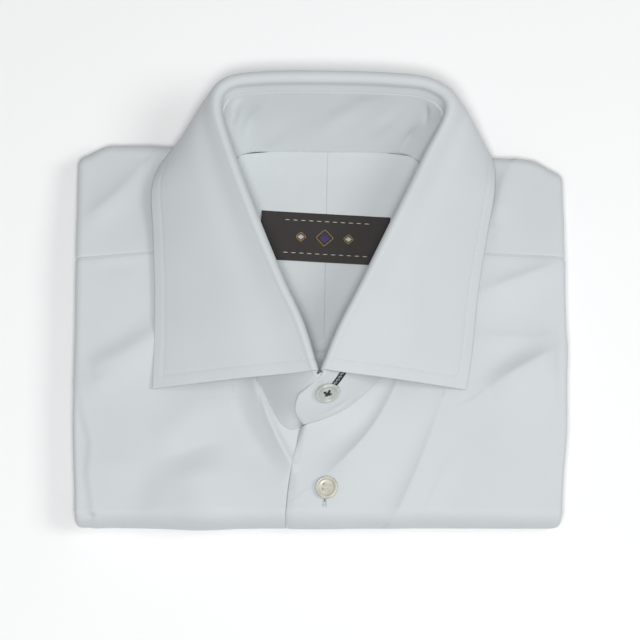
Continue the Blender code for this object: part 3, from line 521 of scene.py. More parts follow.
def shell(name, grid, thickness, uv, material, centred=False, outward=UP):
    """A closed thin shell on a grid of points, with rounded rims.

    The grid is the outer face, or the middle when centred. outward is a direction that
    the outer face looks in.
    """
    rows, columns = grid.shape[:2]
    normals = facing(grid, outward)
    share = np.clip(rim_distance(grid) / (thickness * 0.6), 0.0, 1.0)
    half = (thickness / 2) * np.sqrt(np.clip(1 - (1 - share) ** 2, 0, 1))[..., None]
    centre = grid if centred else grid - normals * thickness / 2
    points = np.stack([centre + normals * half, centre - normals * half])
    count = rows * columns
    index = np.arange(count).reshape(rows, columns)
    corners = [index[:-1, :-1], index[:-1, 1:], index[1:, 1:], index[1:, :-1]]
    quads = np.stack(corners, axis=-1).reshape(-1, 4)
    rim = np.concatenate([index[0], index[1:, -1], index[-1, -2::-1], index[-2:0:-1, 0]])
    following = np.roll(rim, -1)
    sides = np.stack([following, rim, rim + count, following + count], axis=1)
    faces = np.concatenate([quads, quads[:, ::-1] + count, sides])
    turned = np.cross(grid[1, 0] - grid[0, 0], grid[0, 1] - grid[0, 0])
    if np.dot(turned, normals[0, 0]) > 0:
        faces = faces[:, ::-1]
    both = np.tile(np.reshape(uv, (-1, 2)), (2, 1))
    return mesh_piece(name, points, faces.tolist(), material, both, merge=True)


def moved_out(line, side, clearance):
    """The line moved sideways in plan, away from the neck."""
    run = unit(np.gradient(line[:, :2], axis=0))
    line = line.copy()
    line[:, 0] += side * np.abs(run[:, 1]) * clearance
    line[:, 1] -= run[:, 0] * side * clearance
    return line


def neck_side(side, count=NECK_HALF):
    """The first points of the neck seam on one side, from the front."""
    return (NECK_ROOTS if side < 0 else NECK_ROOTS[::-1])[:count].copy()


def edge_of_neck(side, places):
    """The fronts' neck edge with its height, from the opening to the yoke seam."""
    rows = neck_side(side)
    seam_x, last, _ = YOKE_SEAM[side]
    front = rows[rows[:, 1] < last - 4.0]
    seam = (seam_x, last, np.interp(last, rows[:, 1], rows[:, 2]))
    return along_rows(np.vstack([OPENING_TOP[side], front, seam]), places)


def ruled_panel(top, foot, steps, lift, bow=0.0):
    """Points of a panel from its top edge to its foot, and its flat coordinates."""
    share = np.asarray(steps)[:, None]
    x = top[:, 0] + (foot[:, 0] - top[:, 0]) * share + bow * np.sin(math.pi * share)
    y = top[:, 1] + (foot[:, 1] - top[:, 1]) * share
    away = np.hypot(x - top[:, 0], y - top[:, 1])
    lift = lift(x, y)
    plain = on_body(top[:, 0], top[:, 1], lift[0])[:, 2]
    points = on_body(x, y, lift)
    points[..., 2] += (top[:, 2] - plain) * bell(away, NECK_SETTLE)
    return points, np.stack([x, y], axis=-1)


def opening_edge(y):
    """How far across the overlap's edge lies at a place down the front."""
    share = np.clip((y - PLACKET_TOP[1]) / (front_foot() - PLACKET_TOP[1]), 0.0, 1.0)
    straight = PLACKET_TOP[0] + (PLACKET_FOOT - PLACKET_TOP[0]) * share
    return straight + PLACKET_BOW * np.sin(math.pi * share)


def front_foot():
    """Where the flat cloth of the fronts ends, once it has turned under the body."""
    return FRONT_EDGE + FRONT_ROLL - FRONT_ROLL * FRONT_WRAP / FOLD_RATE


def overlap_lift(x, y):
    """How far the viewer's right front stands off, where it lies on the other front."""
    rise = fade(x - opening_edge(y), 0.0, 5.0)
    height = EDGE_LIFT + (OVERLAP_LIFT - EDGE_LIFT) * rise
    return height * (1.0 - fade(x, OVERLAP_FROM, OVERLAP_TO)) * (1.0 - round_front(y))


def underlap_lift(x, y):
    """How far the other front sinks beneath it."""
    sink = UNDERLAP_SINK + 0.25 * round_front(y)
    return -sink * fade(x - opening_edge(y), -0.3, 1.8)


def yoke_line(side, x):
    """Where the seam of the yoke crosses the flat cloth, past the neck."""
    seam_x, seam_y, side_y = YOKE_SEAM[side]
    fall = (np.abs(x) - abs(seam_x)) / (HALF_WIDTH - SIDE_ROLL - abs(seam_x))
    line = seam_y + (side_y - seam_y) * np.clip(fall, 0.0, 1.0)
    return np.where(np.abs(x) < abs(seam_x), np.inf, line)


def sided(name, side):
    return f"{name}_{'left' if side > 0 else 'right'}"


def make_front(side, material):
    """One front, from its opening edge to the side roll and round the fold at its foot."""
    places = fine_ends(NECK_EDGE, 1.1)
    neck = edge_of_neck(side, places[: len(places) - 5])
    seam_x = YOKE_SEAM[side][0]
    core, roll = HALF_WIDTH - SIDE_ROLL, SIDE_ROLL * SIDE_WRAP
    flat_x = np.linspace(abs(seam_x), core, 66)[1:]
    seam = np.concatenate([flat_x, core + roll * fine_ends(roll, 0.7)[5:]]) * side
    seam_y = yoke_line(side, seam) + TUCK
    neck[:, 2] += NECK_LAP
    level = on_body(seam, seam_y, 0.0)[:, 2]
    top = np.vstack([neck, np.stack([seam, seam_y, level], axis=1)])
    if side > 0:
        blend = np.exp(-np.linspace(0.0, 3.0, 6))[:, None]
        top[:6, :2] += (np.array(PLACKET_TOP) - top[0, :2]) * blend
        top[:6, 2] -= CORNER_DROP * blend[:, 0]
    start = PLACKET_FOOT if side > 0 else UNDERLAP_FOOT
    share = np.linspace(0.0, 1.0, len(neck)) ** 0.9
    foot_x = np.concatenate([start + (seam_x - start) * share, seam])
    foot = np.stack([foot_x, np.full(len(foot_x), front_foot())], axis=1)
    own_lift = overlap_lift if side > 0 else underlap_lift

    def lift(x, y):
        return own_lift(x, y) - TUCK_DEPTH * fade(y - yoke_line(side, x), -0.9, 0.1)

    close = [0.0, 0.004, 0.008, 0.012, 0.016]
    steps = np.concatenate([close, fine_ends(FRONT_RUN, 0.95)[8:]])
    bow = PLACKET_BOW * bell(foot_x - start, 16.0) if side > 0 else 0.0
    points, uv = ruled_panel(top, foot, steps, lift, bow)
    return shell(sided("cloth_front", side), points, CLOTH, uv, material)


def make_yoke_outer(side, material):
    """One half of the outer yoke: from its front seam and the neck over the shoulder."""
    seam_x, seam_y, side_y = YOKE_SEAM[side]
    rows = neck_side(side, NECK_HALF + 1)
    rows = rows[rows[:, 1] > seam_y + 4.0]
    rows[-1, 0] = CENTRE_SEAM_BACK
    first = (seam_x, seam_y, on_body(seam_x, seam_y, 0.0)[2])
    places = fine_ends(NECK_EDGE, NECK_EDGE / 109)
    count = len(places)
    inner_edge = moved_out(along_rows(np.vstack([first, rows]), places), side, YOKE_CLEARANCE)
    inner_edge[0, 1] = seam_y + SEAM_GAP / 2
    inner_edge[-1, 0] = CENTRE_SEAM_BACK + side * SEAM_GAP / 2
    inner_edge[:, 2] -= 1.0 * fade(inner_edge[:, 1], 80.0, 94.0)
    inner_edge[:, 1] = flat_y(inner_edge[:, 0], inner_edge[:, 1])
    wrap_x = HALF_WIDTH - SIDE_ROLL + SIDE_ROLL * SIDE_WRAP
    corner = int(count * 0.4)
    back_x = np.linspace(wrap_x, inner_edge[-1, 0] * side, count - corner + 1)[1:]
    outer_x = np.concatenate([np.full(corner, wrap_x), back_x]) * side
    outer_y = shoulder_start(outer_x) + SHOULDER_ROLL * SHOULDER_WRAP
    outer_y[:corner] = np.linspace(side_y + SEAM_GAP / 2, outer_y[0], corner)
    outer_edge = np.stack([outer_x, outer_y], axis=1)
    steps = 1.0 - (1.0 - fine_ends(YOKE_RUN, 1.2)) ** 1.3
    points, uv = ruled_panel(inner_edge, outer_edge, steps, lambda x, y: np.zeros(x.shape))
    return shell(sided("cloth_yoke_outer", side), points, CLOTH, uv, material)


def neck_x(side, y):
    """The neck seam's x at each y on one side."""
    rows = neck_side(side)
    return np.interp(y, rows[:, 1], rows[:, 0])


def well_height(x, y):
    """Height of the inner yoke and the back, which rise to the band round the neck."""
    nearest, seam = np.full(x.shape, np.inf), np.zeros(x.shape)
    for root in along_rows(NECK_ROOTS, 240):
        gap = np.hypot(x - root[0], y - root[1])
        seam = np.where(gap < nearest, root[2] + 0.9, seam)
        nearest = np.minimum(nearest, gap)
    low = YOKE_INNER_TOP + 0.25 * ripple(x, y, 2.0, 14.0) + 0.12 * ripple(x, y, 7.0, 5.0)
    low = low - 0.9 * (1.0 - fade(y, YOKE_INNER_SEAM - 1.2, YOKE_INNER_SEAM))
    low = low + BACK_BULGE * fade(-y, 0.0, 26.0) + 0.35 * fade(-y, 2.0, 8.0) * np.sin(y * 1.1)
    near = np.clip(nearest - 1.0, 0.0, None)
    return low + (seam - low) * bell(near, 6.0) * fade(y, -10.0, 40.0)

def well_panel(name, left, right, y, material):
    """A panel lying in the neck well between two side lines."""
    share = fine_ends(WELL_WIDTH, 1.0)
    x = left[:, None] + (right - left)[:, None] * share
    rows = np.broadcast_to(y[:, None], x.shape)
    grid = np.stack([x, rows, well_height(x, rows)], axis=-1)
    return shell(name, grid, CLOTH, grid[..., :2], material)


def centre_seam(y):
    share = (y - YOKE_INNER_SEAM) / (YOKE_INNER_BACK - YOKE_INNER_SEAM)
    return CENTRE_SEAM_FRONT + (CENTRE_SEAM_BACK - CENTRE_SEAM_FRONT) * share


def make_yoke_inner(side, material):
    length = YOKE_INNER_BACK + 0.8 - YOKE_INNER_SEAM
    y = YOKE_INNER_SEAM + length * fine_ends(length, 1.0)
    outside = neck_x(side, y) + 0.6 * side
    middle = centre_seam(y) + side * SEAM_GAP / 2
    return well_panel(sided("cloth_yoke_inner", side), outside, middle, y, material)


def make_back(material):
    length = YOKE_INNER_SEAM + 1.0 - BACK_FRONT
    y = BACK_FRONT + length * fine_ends(length, 1.0)
    return well_panel("cloth_back", neck_x(-1, y) + 2.0, neck_x(1, y) - 2.0, y, material)


def collar_sections(places):
    """Seam, fold, roll, out direction and edge at places round the collar."""
    rows = along_rows([row[1:] for row in COLLAR], places)
    root, fold, edge = rows[:, 0:3], rows[:, 3:6], rows[:, 9:12]
    drop, roll, out = rows[:, 6:7], rows[:, 7:8], np.radians(rows[:, 8])
    outwards = np.stack([np.cos(out), np.sin(out), np.zeros(len(rows))], axis=1)
    return fold + unit(root - fold) * drop, fold, roll, outwards, edge


def leaf_grid(places, steps):
    """Middle points of the leaf, from its seam inside, over the fold, to its outer edge."""
    seam, fold, roll, out, edge = collar_sections(places)
    up = np.array(UP)
    over = fold + out * 2 * roll - up * 0.3 * roll
    bulge = up * 1.6 + out * 1.2
    path = (
        seam - unit(fold - seam) * LEAF_LAP,
        fold,
        fold + out * 0.35 * roll + up * 0.8 * roll,
        fold + out * roll + up * 1.05 * roll,
        fold + out * 1.7 * roll + up * 0.6 * roll,
        over + (edge - over) * 0.12 + bulge * 0.5,
        over + (edge - over) * 0.35 + bulge,
        over + (edge - over) * 0.68 + bulge * 0.7,
        edge,
    )
    return np.stack([along_rows(section, steps) for section in np.stack(path, axis=1)])


def make_collar_leaf(material, thread):
    """The leaf, with the groove of its edge stitching and the stitches in it."""
    places = fine_ends(LEAF_LENGTH, 1.9, margin=9.0)
    grid = leaf_grid(places, fine_ends(LEAF_WIDTH, 1.3, margin=9.0))
    run = across_distance(grid[None, :, -1])[0]
    down = across_distance(grid)
    from_edge = down[:, -1:] - down
    ends = end_distance(grid)
    inset = np.minimum(from_edge, np.minimum(*ends))
    normals = facing(grid, (0, 1, 0))
    groove = -LEAF_GROOVE * bell(inset - LEAF_STITCH, 0.7)
    plump = 0.05 * fade(inset, 1.0, 3.5) * (1 - fade(inset, 4.0, LEAF_STITCH))
    grid = grid + normals * (groove + plump)[..., None]
    uv = np.stack([np.broadcast_to(run[:, None], inset.shape), from_edge], axis=-1)
    piece = shell("cloth_collar_leaf", grid, LEAF, uv, material, centred=True, outward=(0, 1, 0))
    both = np.concatenate([grid + normals * LEAF / 2, normals], axis=-1)
    rows, columns = inset.shape
    corner = int(np.argmin(np.abs(from_edge[rows // 2] - LEAF_STITCH)))
    first, last = (
        [at_distance(both[:, j], far[:, j], LEAF_STITCH) for j in range(columns // 3, corner)]
        for far in ends
    )
    outer = [
        at_distance(both[i], from_edge[i], LEAF_STITCH)
        for i in range(rows)
        if min(ends[0][i, corner], ends[1][i, corner]) > LEAF_STITCH
    ]
    return piece, stitches("stitch_collar_leaf", np.array(first + outer + last[::-1]), thread)


def across_distance(grid):
    """Distance along each row of the grid from its first point."""
    steps = np.linalg.norm(np.diff(grid, axis=1), axis=2)
    return np.concatenate([np.zeros((len(grid), 1)), np.cumsum(steps, axis=1)], axis=1)


def end_distance(grid):
    """Distance along each column of the grid from its first point and to its last."""
    run = across_distance(grid.transpose(1, 0, 2)).T
    return run, run[-1:] - run


def facing(grid, direction):
    """Normals of the grid, turned so that its middle one looks in a direction."""
    normals = surface_normals(grid)
    middle = normals[grid.shape[0] // 2, grid.shape[1] // 2]
    return normals if np.dot(middle, direction) > 0 else -normals


def at_distance(line, distance, value):
    """Point and normal on one line of a grid where the distance along it has a value."""
    order = np.argsort(distance)
    return [np.interp(value, distance[order], line[order, k]) for k in range(6)]


def resampled(path, step):
    run = across_distance(path[None, :, :3])[0]
    at = np.linspace(0.0, run[-1], max(2, int(round(run[-1] / step)) + 1))
    return np.stack([np.interp(at, run, path[:, k]) for k in range(path.shape[1])], axis=1)


def strands(name, starts, ends, normals, radius, material, raised=0.3):
    """Short rounded strands of thread between pairs of points, their ends sunk in the cloth."""
    bpy.ops.mesh.primitive_uv_sphere_add(segments=6, ring_count=7, radius=1.0)
    one = bpy.context.object
    shape = np.array([v.co[:] for v in one.data.vertices])
    faces = [tuple(f.vertices) for f in one.data.polygons]
    bpy.data.objects.remove(one)
    starts, ends, normals = (np.asarray(a, float) for a in (starts, ends, normals))
    half = (ends - starts) / 2
    along = unit(half)
    side = unit(np.cross(along, normals))
    up = np.cross(side, along)
    lift = radius * (raised + 0.9 * (1.0 - shape[:, 2] ** 2) - 0.9 + shape[:, 1])
    points = (
        ((starts + ends) / 2)[:, None]
        + half[:, None] * shape[None, :, 2:3] * 1.08
        + side[:, None] * shape[None, :, 0:1] * radius
        + up[:, None] * lift[None, :, None]
    )
    count = len(shape)
    every = [tuple(v + k * count for v in f) for k in range(len(points)) for f in faces]
    return mesh_piece(name, points, every, material)


def stitches(name, path, material, length=1.9, space=0.5, radius=0.14):
    """A row of stitches along a path of points on the cloth with their normals."""
    row = resampled(path, length + space)
    share = space / (length + space)
    step = row[1:, :3] - row[:-1, :3]
    return strands(name, row[:-1, :3] + step * share, row[1:, :3], row[:-1, 3:], radius, material)


def band_rows():
    """Root and top of the band at each section, with both ends."""
    rows = [row[1:] for row in BAND_LEFT_END]
    for _, *row in COLLAR:
        foot, fold, drop = np.array(row[0:3]), np.array(row[3:6]), row[6]
        rows.append((*foot, *(fold + unit(foot - fold) * drop)))
    return rows + [row[1:] for row in BAND_RIGHT_END]


def band_grid(places, steps):
    """Middle points of the band from its root to its top, bowed and softly wrinkled."""
    rows = along_rows(band_rows(), places)
    foot, top = rows[:, :3], rows[:, 3:]
    share = np.asarray(steps)[None, :, None]
    grid = foot[:, None] + (top - foot)[:, None] * share
    normals = unit(np.cross(np.gradient(foot, axis=0), top - foot))
    middle = len(rows) // 2
    away = normals[middle, :2] @ (foot[middle, :2] - NECK_MIDDLE)
    grid = grid + math.copysign(1.0, away) * normals[:, None] * np.sin(math.pi * share)
    end = fade(np.asarray(places), TAB_ROUND_FROM, 1.0)[:, None]
    grid[..., 0] -= TAB_ROUND * end * np.sin(math.pi * share[0, :, 0])[None]
    return grid


def make_collar_stand(material, thread):
    """The band with its wrinkles and its two rows of edge stitching."""
    places = fine_ends(BAND_LENGTH, 1.5, margin=3.0)
    steps = fine_ends(BAND_WIDTH, 1.1, margin=3.0)
    grid = band_grid(places, steps)
    along, up = np.meshgrid(places * BAND_LENGTH, steps * BAND_WIDTH, indexing="ij")
    height = 0.15 * ripple(along, up, 5.0, 12.0)
    for _, place, share, length, width, bump, slope in BAND_WRINKLES:
        angle = math.radians(slope)
        a, b = along - place * BAND_LENGTH, up - share * BAND_WIDTH
        u = a * math.cos(angle) + b * math.sin(angle)
        v = -a * math.sin(angle) + b * math.cos(angle)
        height = height + bump * bell(u, length) * bell(v, width)
    ruffle = height * fade(rim_distance(grid), 1.0, 6.0)
    grid = grid + surface_normals(grid) * ruffle[..., None]
    uv = np.stack([along, up], axis=-1)
    piece = shell("cloth_collar_stand", grid, BAND, uv, material, centred=True, outward=(0, 1, 0))
    across, to_end = across_distance(grid), end_distance(grid)[1]
    top = across[:, -1] - BAND_STITCH
    end = len(grid) - int(np.argmax(to_end[::-1, 10] > BAND_STITCH))
    rows = []
    for name, side in (("inside", 1), ("outside", -1)):
        normals = side * facing(grid, (0, -1, 0))
        both = np.concatenate([grid + normals * BAND / 2, normals], axis=-1)
        low = [at_distance(both[i], across[i], BAND_STITCH) for i in range(end)]
        round_end = [
            at_distance(both[:, j], to_end[:, j], BAND_STITCH)
            for j in range(len(steps))
            if BAND_STITCH < across[-1, j] < top[-1]
        ]
        high = [at_distance(both[i], across[i], top[i]) for i in range(end)]
        path = np.array(low + round_end + high[::-1])
        rows.append(stitches(f"stitch_band_{name}", path, thread))
    return piece, rows


def node(tree, kind, **inputs):
    """A new node. Each input is given a value, or is fed by the output that is given."""
    made = tree.nodes.new(f"ShaderNode{kind}")
    fill(tree, made, inputs)
    return made


def fill(tree, made, inputs):
    for key, value in inputs.items():
        socket = made.inputs[key.replace("_", " ")]
        if isinstance(value, bpy.types.NodeSocket):
            tree.links.new(value, socket)
        else:
            socket.default_value = value


def new_material(name, **inputs):
    """A material with the inputs of its shader, its node tree and its shader."""
    material = bpy.data.materials.new(name)
    material.use_nodes = True
    shader = material.node_tree.nodes["Principled BSDF"]
    fill(material.node_tree, shader, inputs)
    return material, material.node_tree, shader


def cloth_place(tree):
    """The cloth's own coordinates."""
    uv = node(tree, "UVMap")
    uv.uv_map = "cloth"
    return uv.outputs["UV"]


def add_bump(tree, shader, height, strength, distance):
    bump = node(tree, "Bump", Height=height, Strength=strength, Distance=distance)
    tree.links.new(bump.outputs["Normal"], shader.inputs["Normal"])


def add_ramp(tree, shader, source, low, high, ends=(0.3, 0.72)):
    """A ramp between two colours as the base colour."""
    ramp = node(tree, "ValToRGB", Fac=source)
    for element, position, colour in zip(ramp.color_ramp.elements, ends, (low, high)):
        element.position = position
        element.color = (*colour, 1.0)
    tree.links.new(ramp.outputs["Color"], shader.inputs["Base Color"])


def tones(colour, low, high):
    return [c * low for c in colour], [c * high for c in colour]


def shirting(name, colour):
    """White fine twill: a diagonal weave and slubs as bump, with a faint uneven tone."""
    material, tree, shader = new_material(
        name, Roughness=0.82, Sheen_Weight=0.15, Sheen_Roughness=0.5
    )
    uv = cloth_place(tree)
    turn = node(tree, "Mapping", Vector=uv, Rotation=(0.0, 0.0, math.radians(63)))
    wave = {"Scale": 330.0, "Distortion": 1.2, "Detail": 1.0, "Detail_Scale": 3.0}
    twill = node(tree, "TexWave", Vector=turn.outputs["Vector"], **wave)
    slub = node(tree, "TexNoise", Vector=uv, Scale=900.0, Detail=3.0)
    weave = node(tree, "Math")
    tree.links.new(twill.outputs["Fac"], weave.inputs[0])
    tree.links.new(slub.outputs["Fac"], weave.inputs[1])
    add_bump(tree, shader, weave.outputs[0], 0.22, 0.00005)
    place = node(tree, "TexCoord").outputs["Object"]
    cloud = node(tree, "TexNoise", Vector=place, Scale=26.0, Detail=3.0)
    add_ramp(tree, shader, cloud.outputs["Fac"], *tones(colour, 0.975, 1.01), (0.3, 0.75))
    return material


def threaded(name, colour, roughness):
    """Twisted thread: a fine uneven tone and bump over one colour."""
    material, tree, shader = new_material(name, Roughness=roughness, Sheen_Weight=0.1)
    place = node(tree, "TexCoord").outputs["Object"]
    grain = node(tree, "TexNoise", Vector=place, Scale=2600.0, Detail=2.0).outputs["Fac"]
    add_ramp(tree, shader, grain, *tones(colour, 0.85, 1.1))
    add_bump(tree, shader, grain, 0.4, 0.00005)
    return material


def label_weave(name):
    """Dark brown satin weave with fine ribs across its width."""
    material, tree, shader = new_material(name, Roughness=0.6)
    uv = cloth_place(tree)
    rib = node(tree, "TexWave", Vector=uv, Scale=900.0, Distortion=0.6)
    rib.bands_direction = "Y"
    fleck = node(tree, "TexNoise", Vector=uv, Scale=1500.0, Detail=2.0)
    brown = tones((0.0175, 0.0125, 0.011), 0.75, 1.3)
    add_ramp(tree, shader, fleck.outputs["Fac"], *brown)
    add_bump(tree, shader, rib.outputs["Fac"], 0.5, 0.00006)
    return material


def pearl(name, low, high):
    """Polished shell: soft curved bands of two close colours under a clear gloss."""
    material, tree, shader = new_material(
        name, Roughness=0.32, Coat_Weight=0.35, Coat_Roughness=0.15
    )
    place = node(tree, "TexCoord").outputs["Object"]
    swirl = node(tree, "TexWave", Vector=place, Scale=55.0, Distortion=7.0, Detail=2.0)
    add_ramp(tree, shader, swirl.outputs["Fac"], low, high, (0.0, 1.0))
    grain = node(tree, "TexNoise", Vector=place, Scale=900.0, Detail=2.0)
    add_bump(tree, shader, grain.outputs["Fac"], 0.12, 0.0001)
    return material


def striped_tape(name):
    """The patterned strip between the two edges of the dark buttonhole."""
    material, tree, shader = new_material(name, Roughness=0.7)
    light, dark = (0.32, 0.34, 0.36, 1.0), (0.05, 0.055, 0.09, 1.0)
    uv = cloth_place(tree)
    check = node(tree, "TexChecker", Vector=uv, Scale=1100.0, Color1=light, Color2=dark)
    tree.links.new(check.outputs["Color"], shader.inputs["Base Color"])
    return material


def make_stage():
    """A plain pale floor."""
    bpy.ops.mesh.primitive_plane_add(size=8.0, location=(0.0, 0.0, 0.0))
    floor = bpy.context.object
    floor.name = "floor"
    pale = new_material("pale floor", Base_Color=(0.93, 0.93, 0.93, 1.0), Roughness=0.9)[0]
    floor.data.materials.append(pale)


def make_lights():
    """Soft daylight from all round, with a small lamp at the right and one at the camera."""
    world = bpy.data.worlds.new("daylight")
    world.use_nodes = True
    sky = world.node_tree.nodes["Background"]
    sky.inputs["Color"].default_value = (0.97, 0.985, 1.0, 1.0)
    sky.inputs["Strength"].default_value = 0.29
    bpy.context.scene.world = world
    for name, place, size, power in (
        ("window", (0.95, -0.1, 1.35), 0.6, 6.4),
        ("front", (-0.02, -0.52, 1.73), 0.3, 19.0),
    ):
        lamp = bpy.data.lights.new(name, "AREA")
        lamp.energy, lamp.size = power, size
        aim_from(linked(name, lamp), Vector(place), -Vector(place))


def aim_from(holder, place, direction):
    """Puts a lamp or the camera at a place, looking in a direction."""
    holder.location = place
    holder.rotation_euler = direction.to_track_quat("-Z", "Y").to_euler()


def make_camera():
    lens = bpy.data.cameras.new("camera")
    holder = linked("camera", lens)
    back = Vector((0.0, -math.cos(CAMERA_TILT), math.sin(CAMERA_TILT)))
    aim_from(holder, Vector(CAMERA_AIM) * MM + back * CAMERA_DISTANCE * MM, -back)
    lens.sensor_width = SENSOR
    lens.sensor_fit = "HORIZONTAL"
    lens.lens = SENSOR * CAMERA_DISTANCE / FRAME_WIDTH
    lens.clip_end = 20.0
    bpy.context.scene.camera = holder
    bpy.context.scene.view_settings.view_transform = "Standard"


def make_label(material, cream, gold, violet):
    """The woven label: stitched ends, two rows of dashes and three small lozenges."""
    u, v = np.meshgrid(
        (fine_ends(LABEL_WIDTH, 0.8) - 0.5) * LABEL_WIDTH,
        (fine_ends(LABEL_DEPTH, 0.8) - 0.5) * LABEL_DEPTH,
        indexing="ij",
    )
    uv = np.stack([u, v], axis=-1)
    piece = shell("cloth_label", on_label(uv), LABEL, uv, material)
    made = []
    edge_u, edge_v = LABEL_WIDTH / 2 - 0.8, LABEL_DEPTH / 2 - 0.8
    for k, u in enumerate((-edge_u, edge_u)):
        line = np.linspace((u, -edge_v), (u, edge_v), 40)
        made.append(label_row(f"stitch_label_{k}", line, material, 1.6, 0.5, 0.12))
    for k, v in enumerate((-8.6, 8.6)):
        line = np.linspace((-22.0, v), (22.0, v), 90)
        made.append(label_row(f"label_dashes_{k}", line, cream, 2.4, 1.5, 0.2))
    for k, (centre, size) in enumerate(((-12.0, 2.6), (0.0, 4.4), (12.0, 2.6))):
        fill = np.arange(-size * 0.62, size * 0.63, 0.34)
        reach = size * 0.66 - np.abs(fill)
        ends = [on_label(np.stack([centre + fill, s * reach], axis=1)) for s in (-1, 1)]
        up = np.tile(UP, (len(fill), 1))
        silk = violet if k == 1 else cream
        made.append(strands(f"label_lozenge_{k}", *ends, up, 0.19, silk))
        corners = np.array([(size, 0), (0, size), (-size, 0), (0, -size), (size, 0)])
        corners = corners + (centre, 0)
        line = [np.linspace(p, q, 12)[:-1] for p, q in zip(corners, corners[1:])]
        line = np.vstack([*line, corners[:1]])
        made.append(label_row(f"label_frame_{k}", line, gold, 1.0, 0.1, 0.24))
    return piece, made


def on_label(flat):
    """Points of the label's face from its own width and depth."""
    u, v = flat[..., 0], flat[..., 1]
    x = LABEL_CENTRE[0] + u * math.cos(LABEL_TURN) - v * math.sin(LABEL_TURN)
    y = LABEL_CENTRE[1] + u * math.sin(LABEL_TURN) + v * math.cos(LABEL_TURN)
    curl = 0.25 * bell(np.abs(u) - LABEL_WIDTH / 2, 3.0)
    return np.stack([x, y, well_height(x, y) + LABEL + 0.05 + curl], axis=-1)


def label_row(name, line, material, length, space, radius):
    path = np.hstack([on_label(line), np.tile(UP, (len(line), 1))])
    return stitches(name, path, material, length, space, radius)


def turned_button(name, radius, material):
    """A turned button: a rounded rim, a dished face and four drilled holes, at the origin."""
    profile = along_rows([(share * radius, height) for share, height in BUTTON_PROFILE], 30)
    profile = np.vstack([[(0.0, profile[0, 1])], profile, [(0.0, profile[-1, 1] - 0.05)]])
    mesh = bpy.data.meshes.new(name)
    points = [(float(r) * MM, 0.0, float(z) * MM) for r, z in profile]
    mesh.from_pydata(points, [(i, i + 1) for i in range(len(points) - 1)], [])
    piece = linked(name, mesh)
    select_only(piece)
    bpy.ops.object.mode_set(mode="EDIT")
    bpy.ops.mesh.select_all(action="SELECT")
    bpy.ops.mesh.spin(steps=72, angle=2 * math.pi, center=(0, 0, 0), axis=(0, 0, 1))
    bpy.ops.object.mode_set(mode="OBJECT")
    face_outward(piece, merge=True)
    for x, y in ((-1, -1), (-1, 1), (1, -1), (1, 1)):
        place = (x * HOLE_SPACING / 2 * MM, y * HOLE_SPACING / 2 * MM, 0.001)
        bpy.ops.mesh.primitive_cylinder_add(
            vertices=28, radius=HOLE_RADIUS * MM, depth=0.008, location=place
        )
        drill = bpy.context.object
        cut = piece.modifiers.new("hole", "BOOLEAN")
        cut.operation, cut.object, cut.solver = "DIFFERENCE", drill, "EXACT"
        select_only(piece)
        bpy.ops.object.modifier_apply(modifier="hole")
        bpy.data.objects.remove(drill)
    piece.data.materials.append(material)
    select_only(piece)
    bpy.ops.object.shade_smooth_by_angle(angle=math.radians(40))
    return piece


def cross_thread(name, material, radius, spread, runs, reaches=(1.0,)):
    """The thread of a button: strands from hole to hole and down to the cloth.

    A run goes from one hole to another, in three strands side by side at each reach.
    """
    made = []
    share, height, over, beside = np.array(THREAD_PATH).T
    for turn, run in enumerate(runs):
        start, end = np.array(run, float) * HOLE_SPACING / 2
        middle, half = (start + end) / 2, (start - end) / 2
        off = np.array([half[1], -half[0]]) / np.linalg.norm(half) * spread
        rise = THREAD_CROSS_RISE * turn if abs(middle).sum() < 0.1 else 0.0
        for k, reach in [(k, reach) for k in (-1, 0, 1) for reach in reaches]:
            plan = middle + np.outer(share * reach, half) + np.outer(beside * k, off)
            path = along_rows(np.column_stack([plan, height + over * rise]), 19)
            curve = bpy.data.curves.new(name, "CURVE")
            curve.dimensions, curve.bevel_depth, curve.bevel_resolution = "3D", radius * MM, 2
            spline = curve.splines.new("POLY")
            spline.points.add(len(path) - 1)
            for point, at in zip(spline.points, path * MM):
                point.co = (*at, 1.0)
            made.append(linked(f"{name}_{turn}_{k}_{reach}", curve))
    select_all_of(made)
    bpy.ops.object.convert(target="MESH")
    bpy.ops.object.join()
    piece = bpy.context.object
    piece.name = name
    piece.data.materials.clear()
    piece.data.materials.append(material)
    bpy.ops.object.shade_smooth()
    return piece


def select_all_of(pieces):
    select_only(pieces[0])
    for piece in pieces[1:]:
        piece.select_set(True)


def set_on_cloth(pieces, point, normal, turn=0.0):
    """Moves pieces modelled at the origin onto the cloth, facing along its normal."""
    facing_up = Vector(normal).to_track_quat("Z", "Y").to_matrix().to_4x4()
    place = Matrix.Translation(Vector([float(c) * MM for c in point]))
    whole = place @ facing_up @ Matrix.Rotation(turn, 4, "Z")
    for piece in pieces:
        piece.data.transform(whole)
        piece.data.update()


def collar_button_seat():
    """Place of the band's button: its share round the band, point and normal."""
    rows = along_rows(band_rows(), 400)
    tab = rows[200:][rows[200:, 1] < 0]
    nearest = int(np.argmin(np.abs(tab[:, 0] - COLLAR_BUTTON_PLACE)))
    foot, top = tab[nearest, :3], tab[nearest, 3:]
    normal = unit(np.cross(tab[-1, :3] - foot, top - foot))
    normal *= np.sign(normal[2])
    share = (len(rows) - len(tab) + nearest) / (len(rows) - 1)
    return share, foot + (top - foot) * COLLAR_BUTTON_RISE + normal * COLLAR_BUTTON_STAND, normal


def make_collar_button(material, thread):
    _, point, normal = collar_button_seat()
    button = turned_button("button_shell_collar", COLLAR_BUTTON_RADIUS, material)
    cross = cross_thread("button_thread_collar", thread, 0.22, 0.38, CROSSED)
    normal = unit(normal + np.array([0.0, -math.sin(COLLAR_BUTTON_LEAN), 0.0]))
    set_on_cloth([button, cross], point + normal * BUTTON_GAP, normal, math.radians(8))
    return button, cross


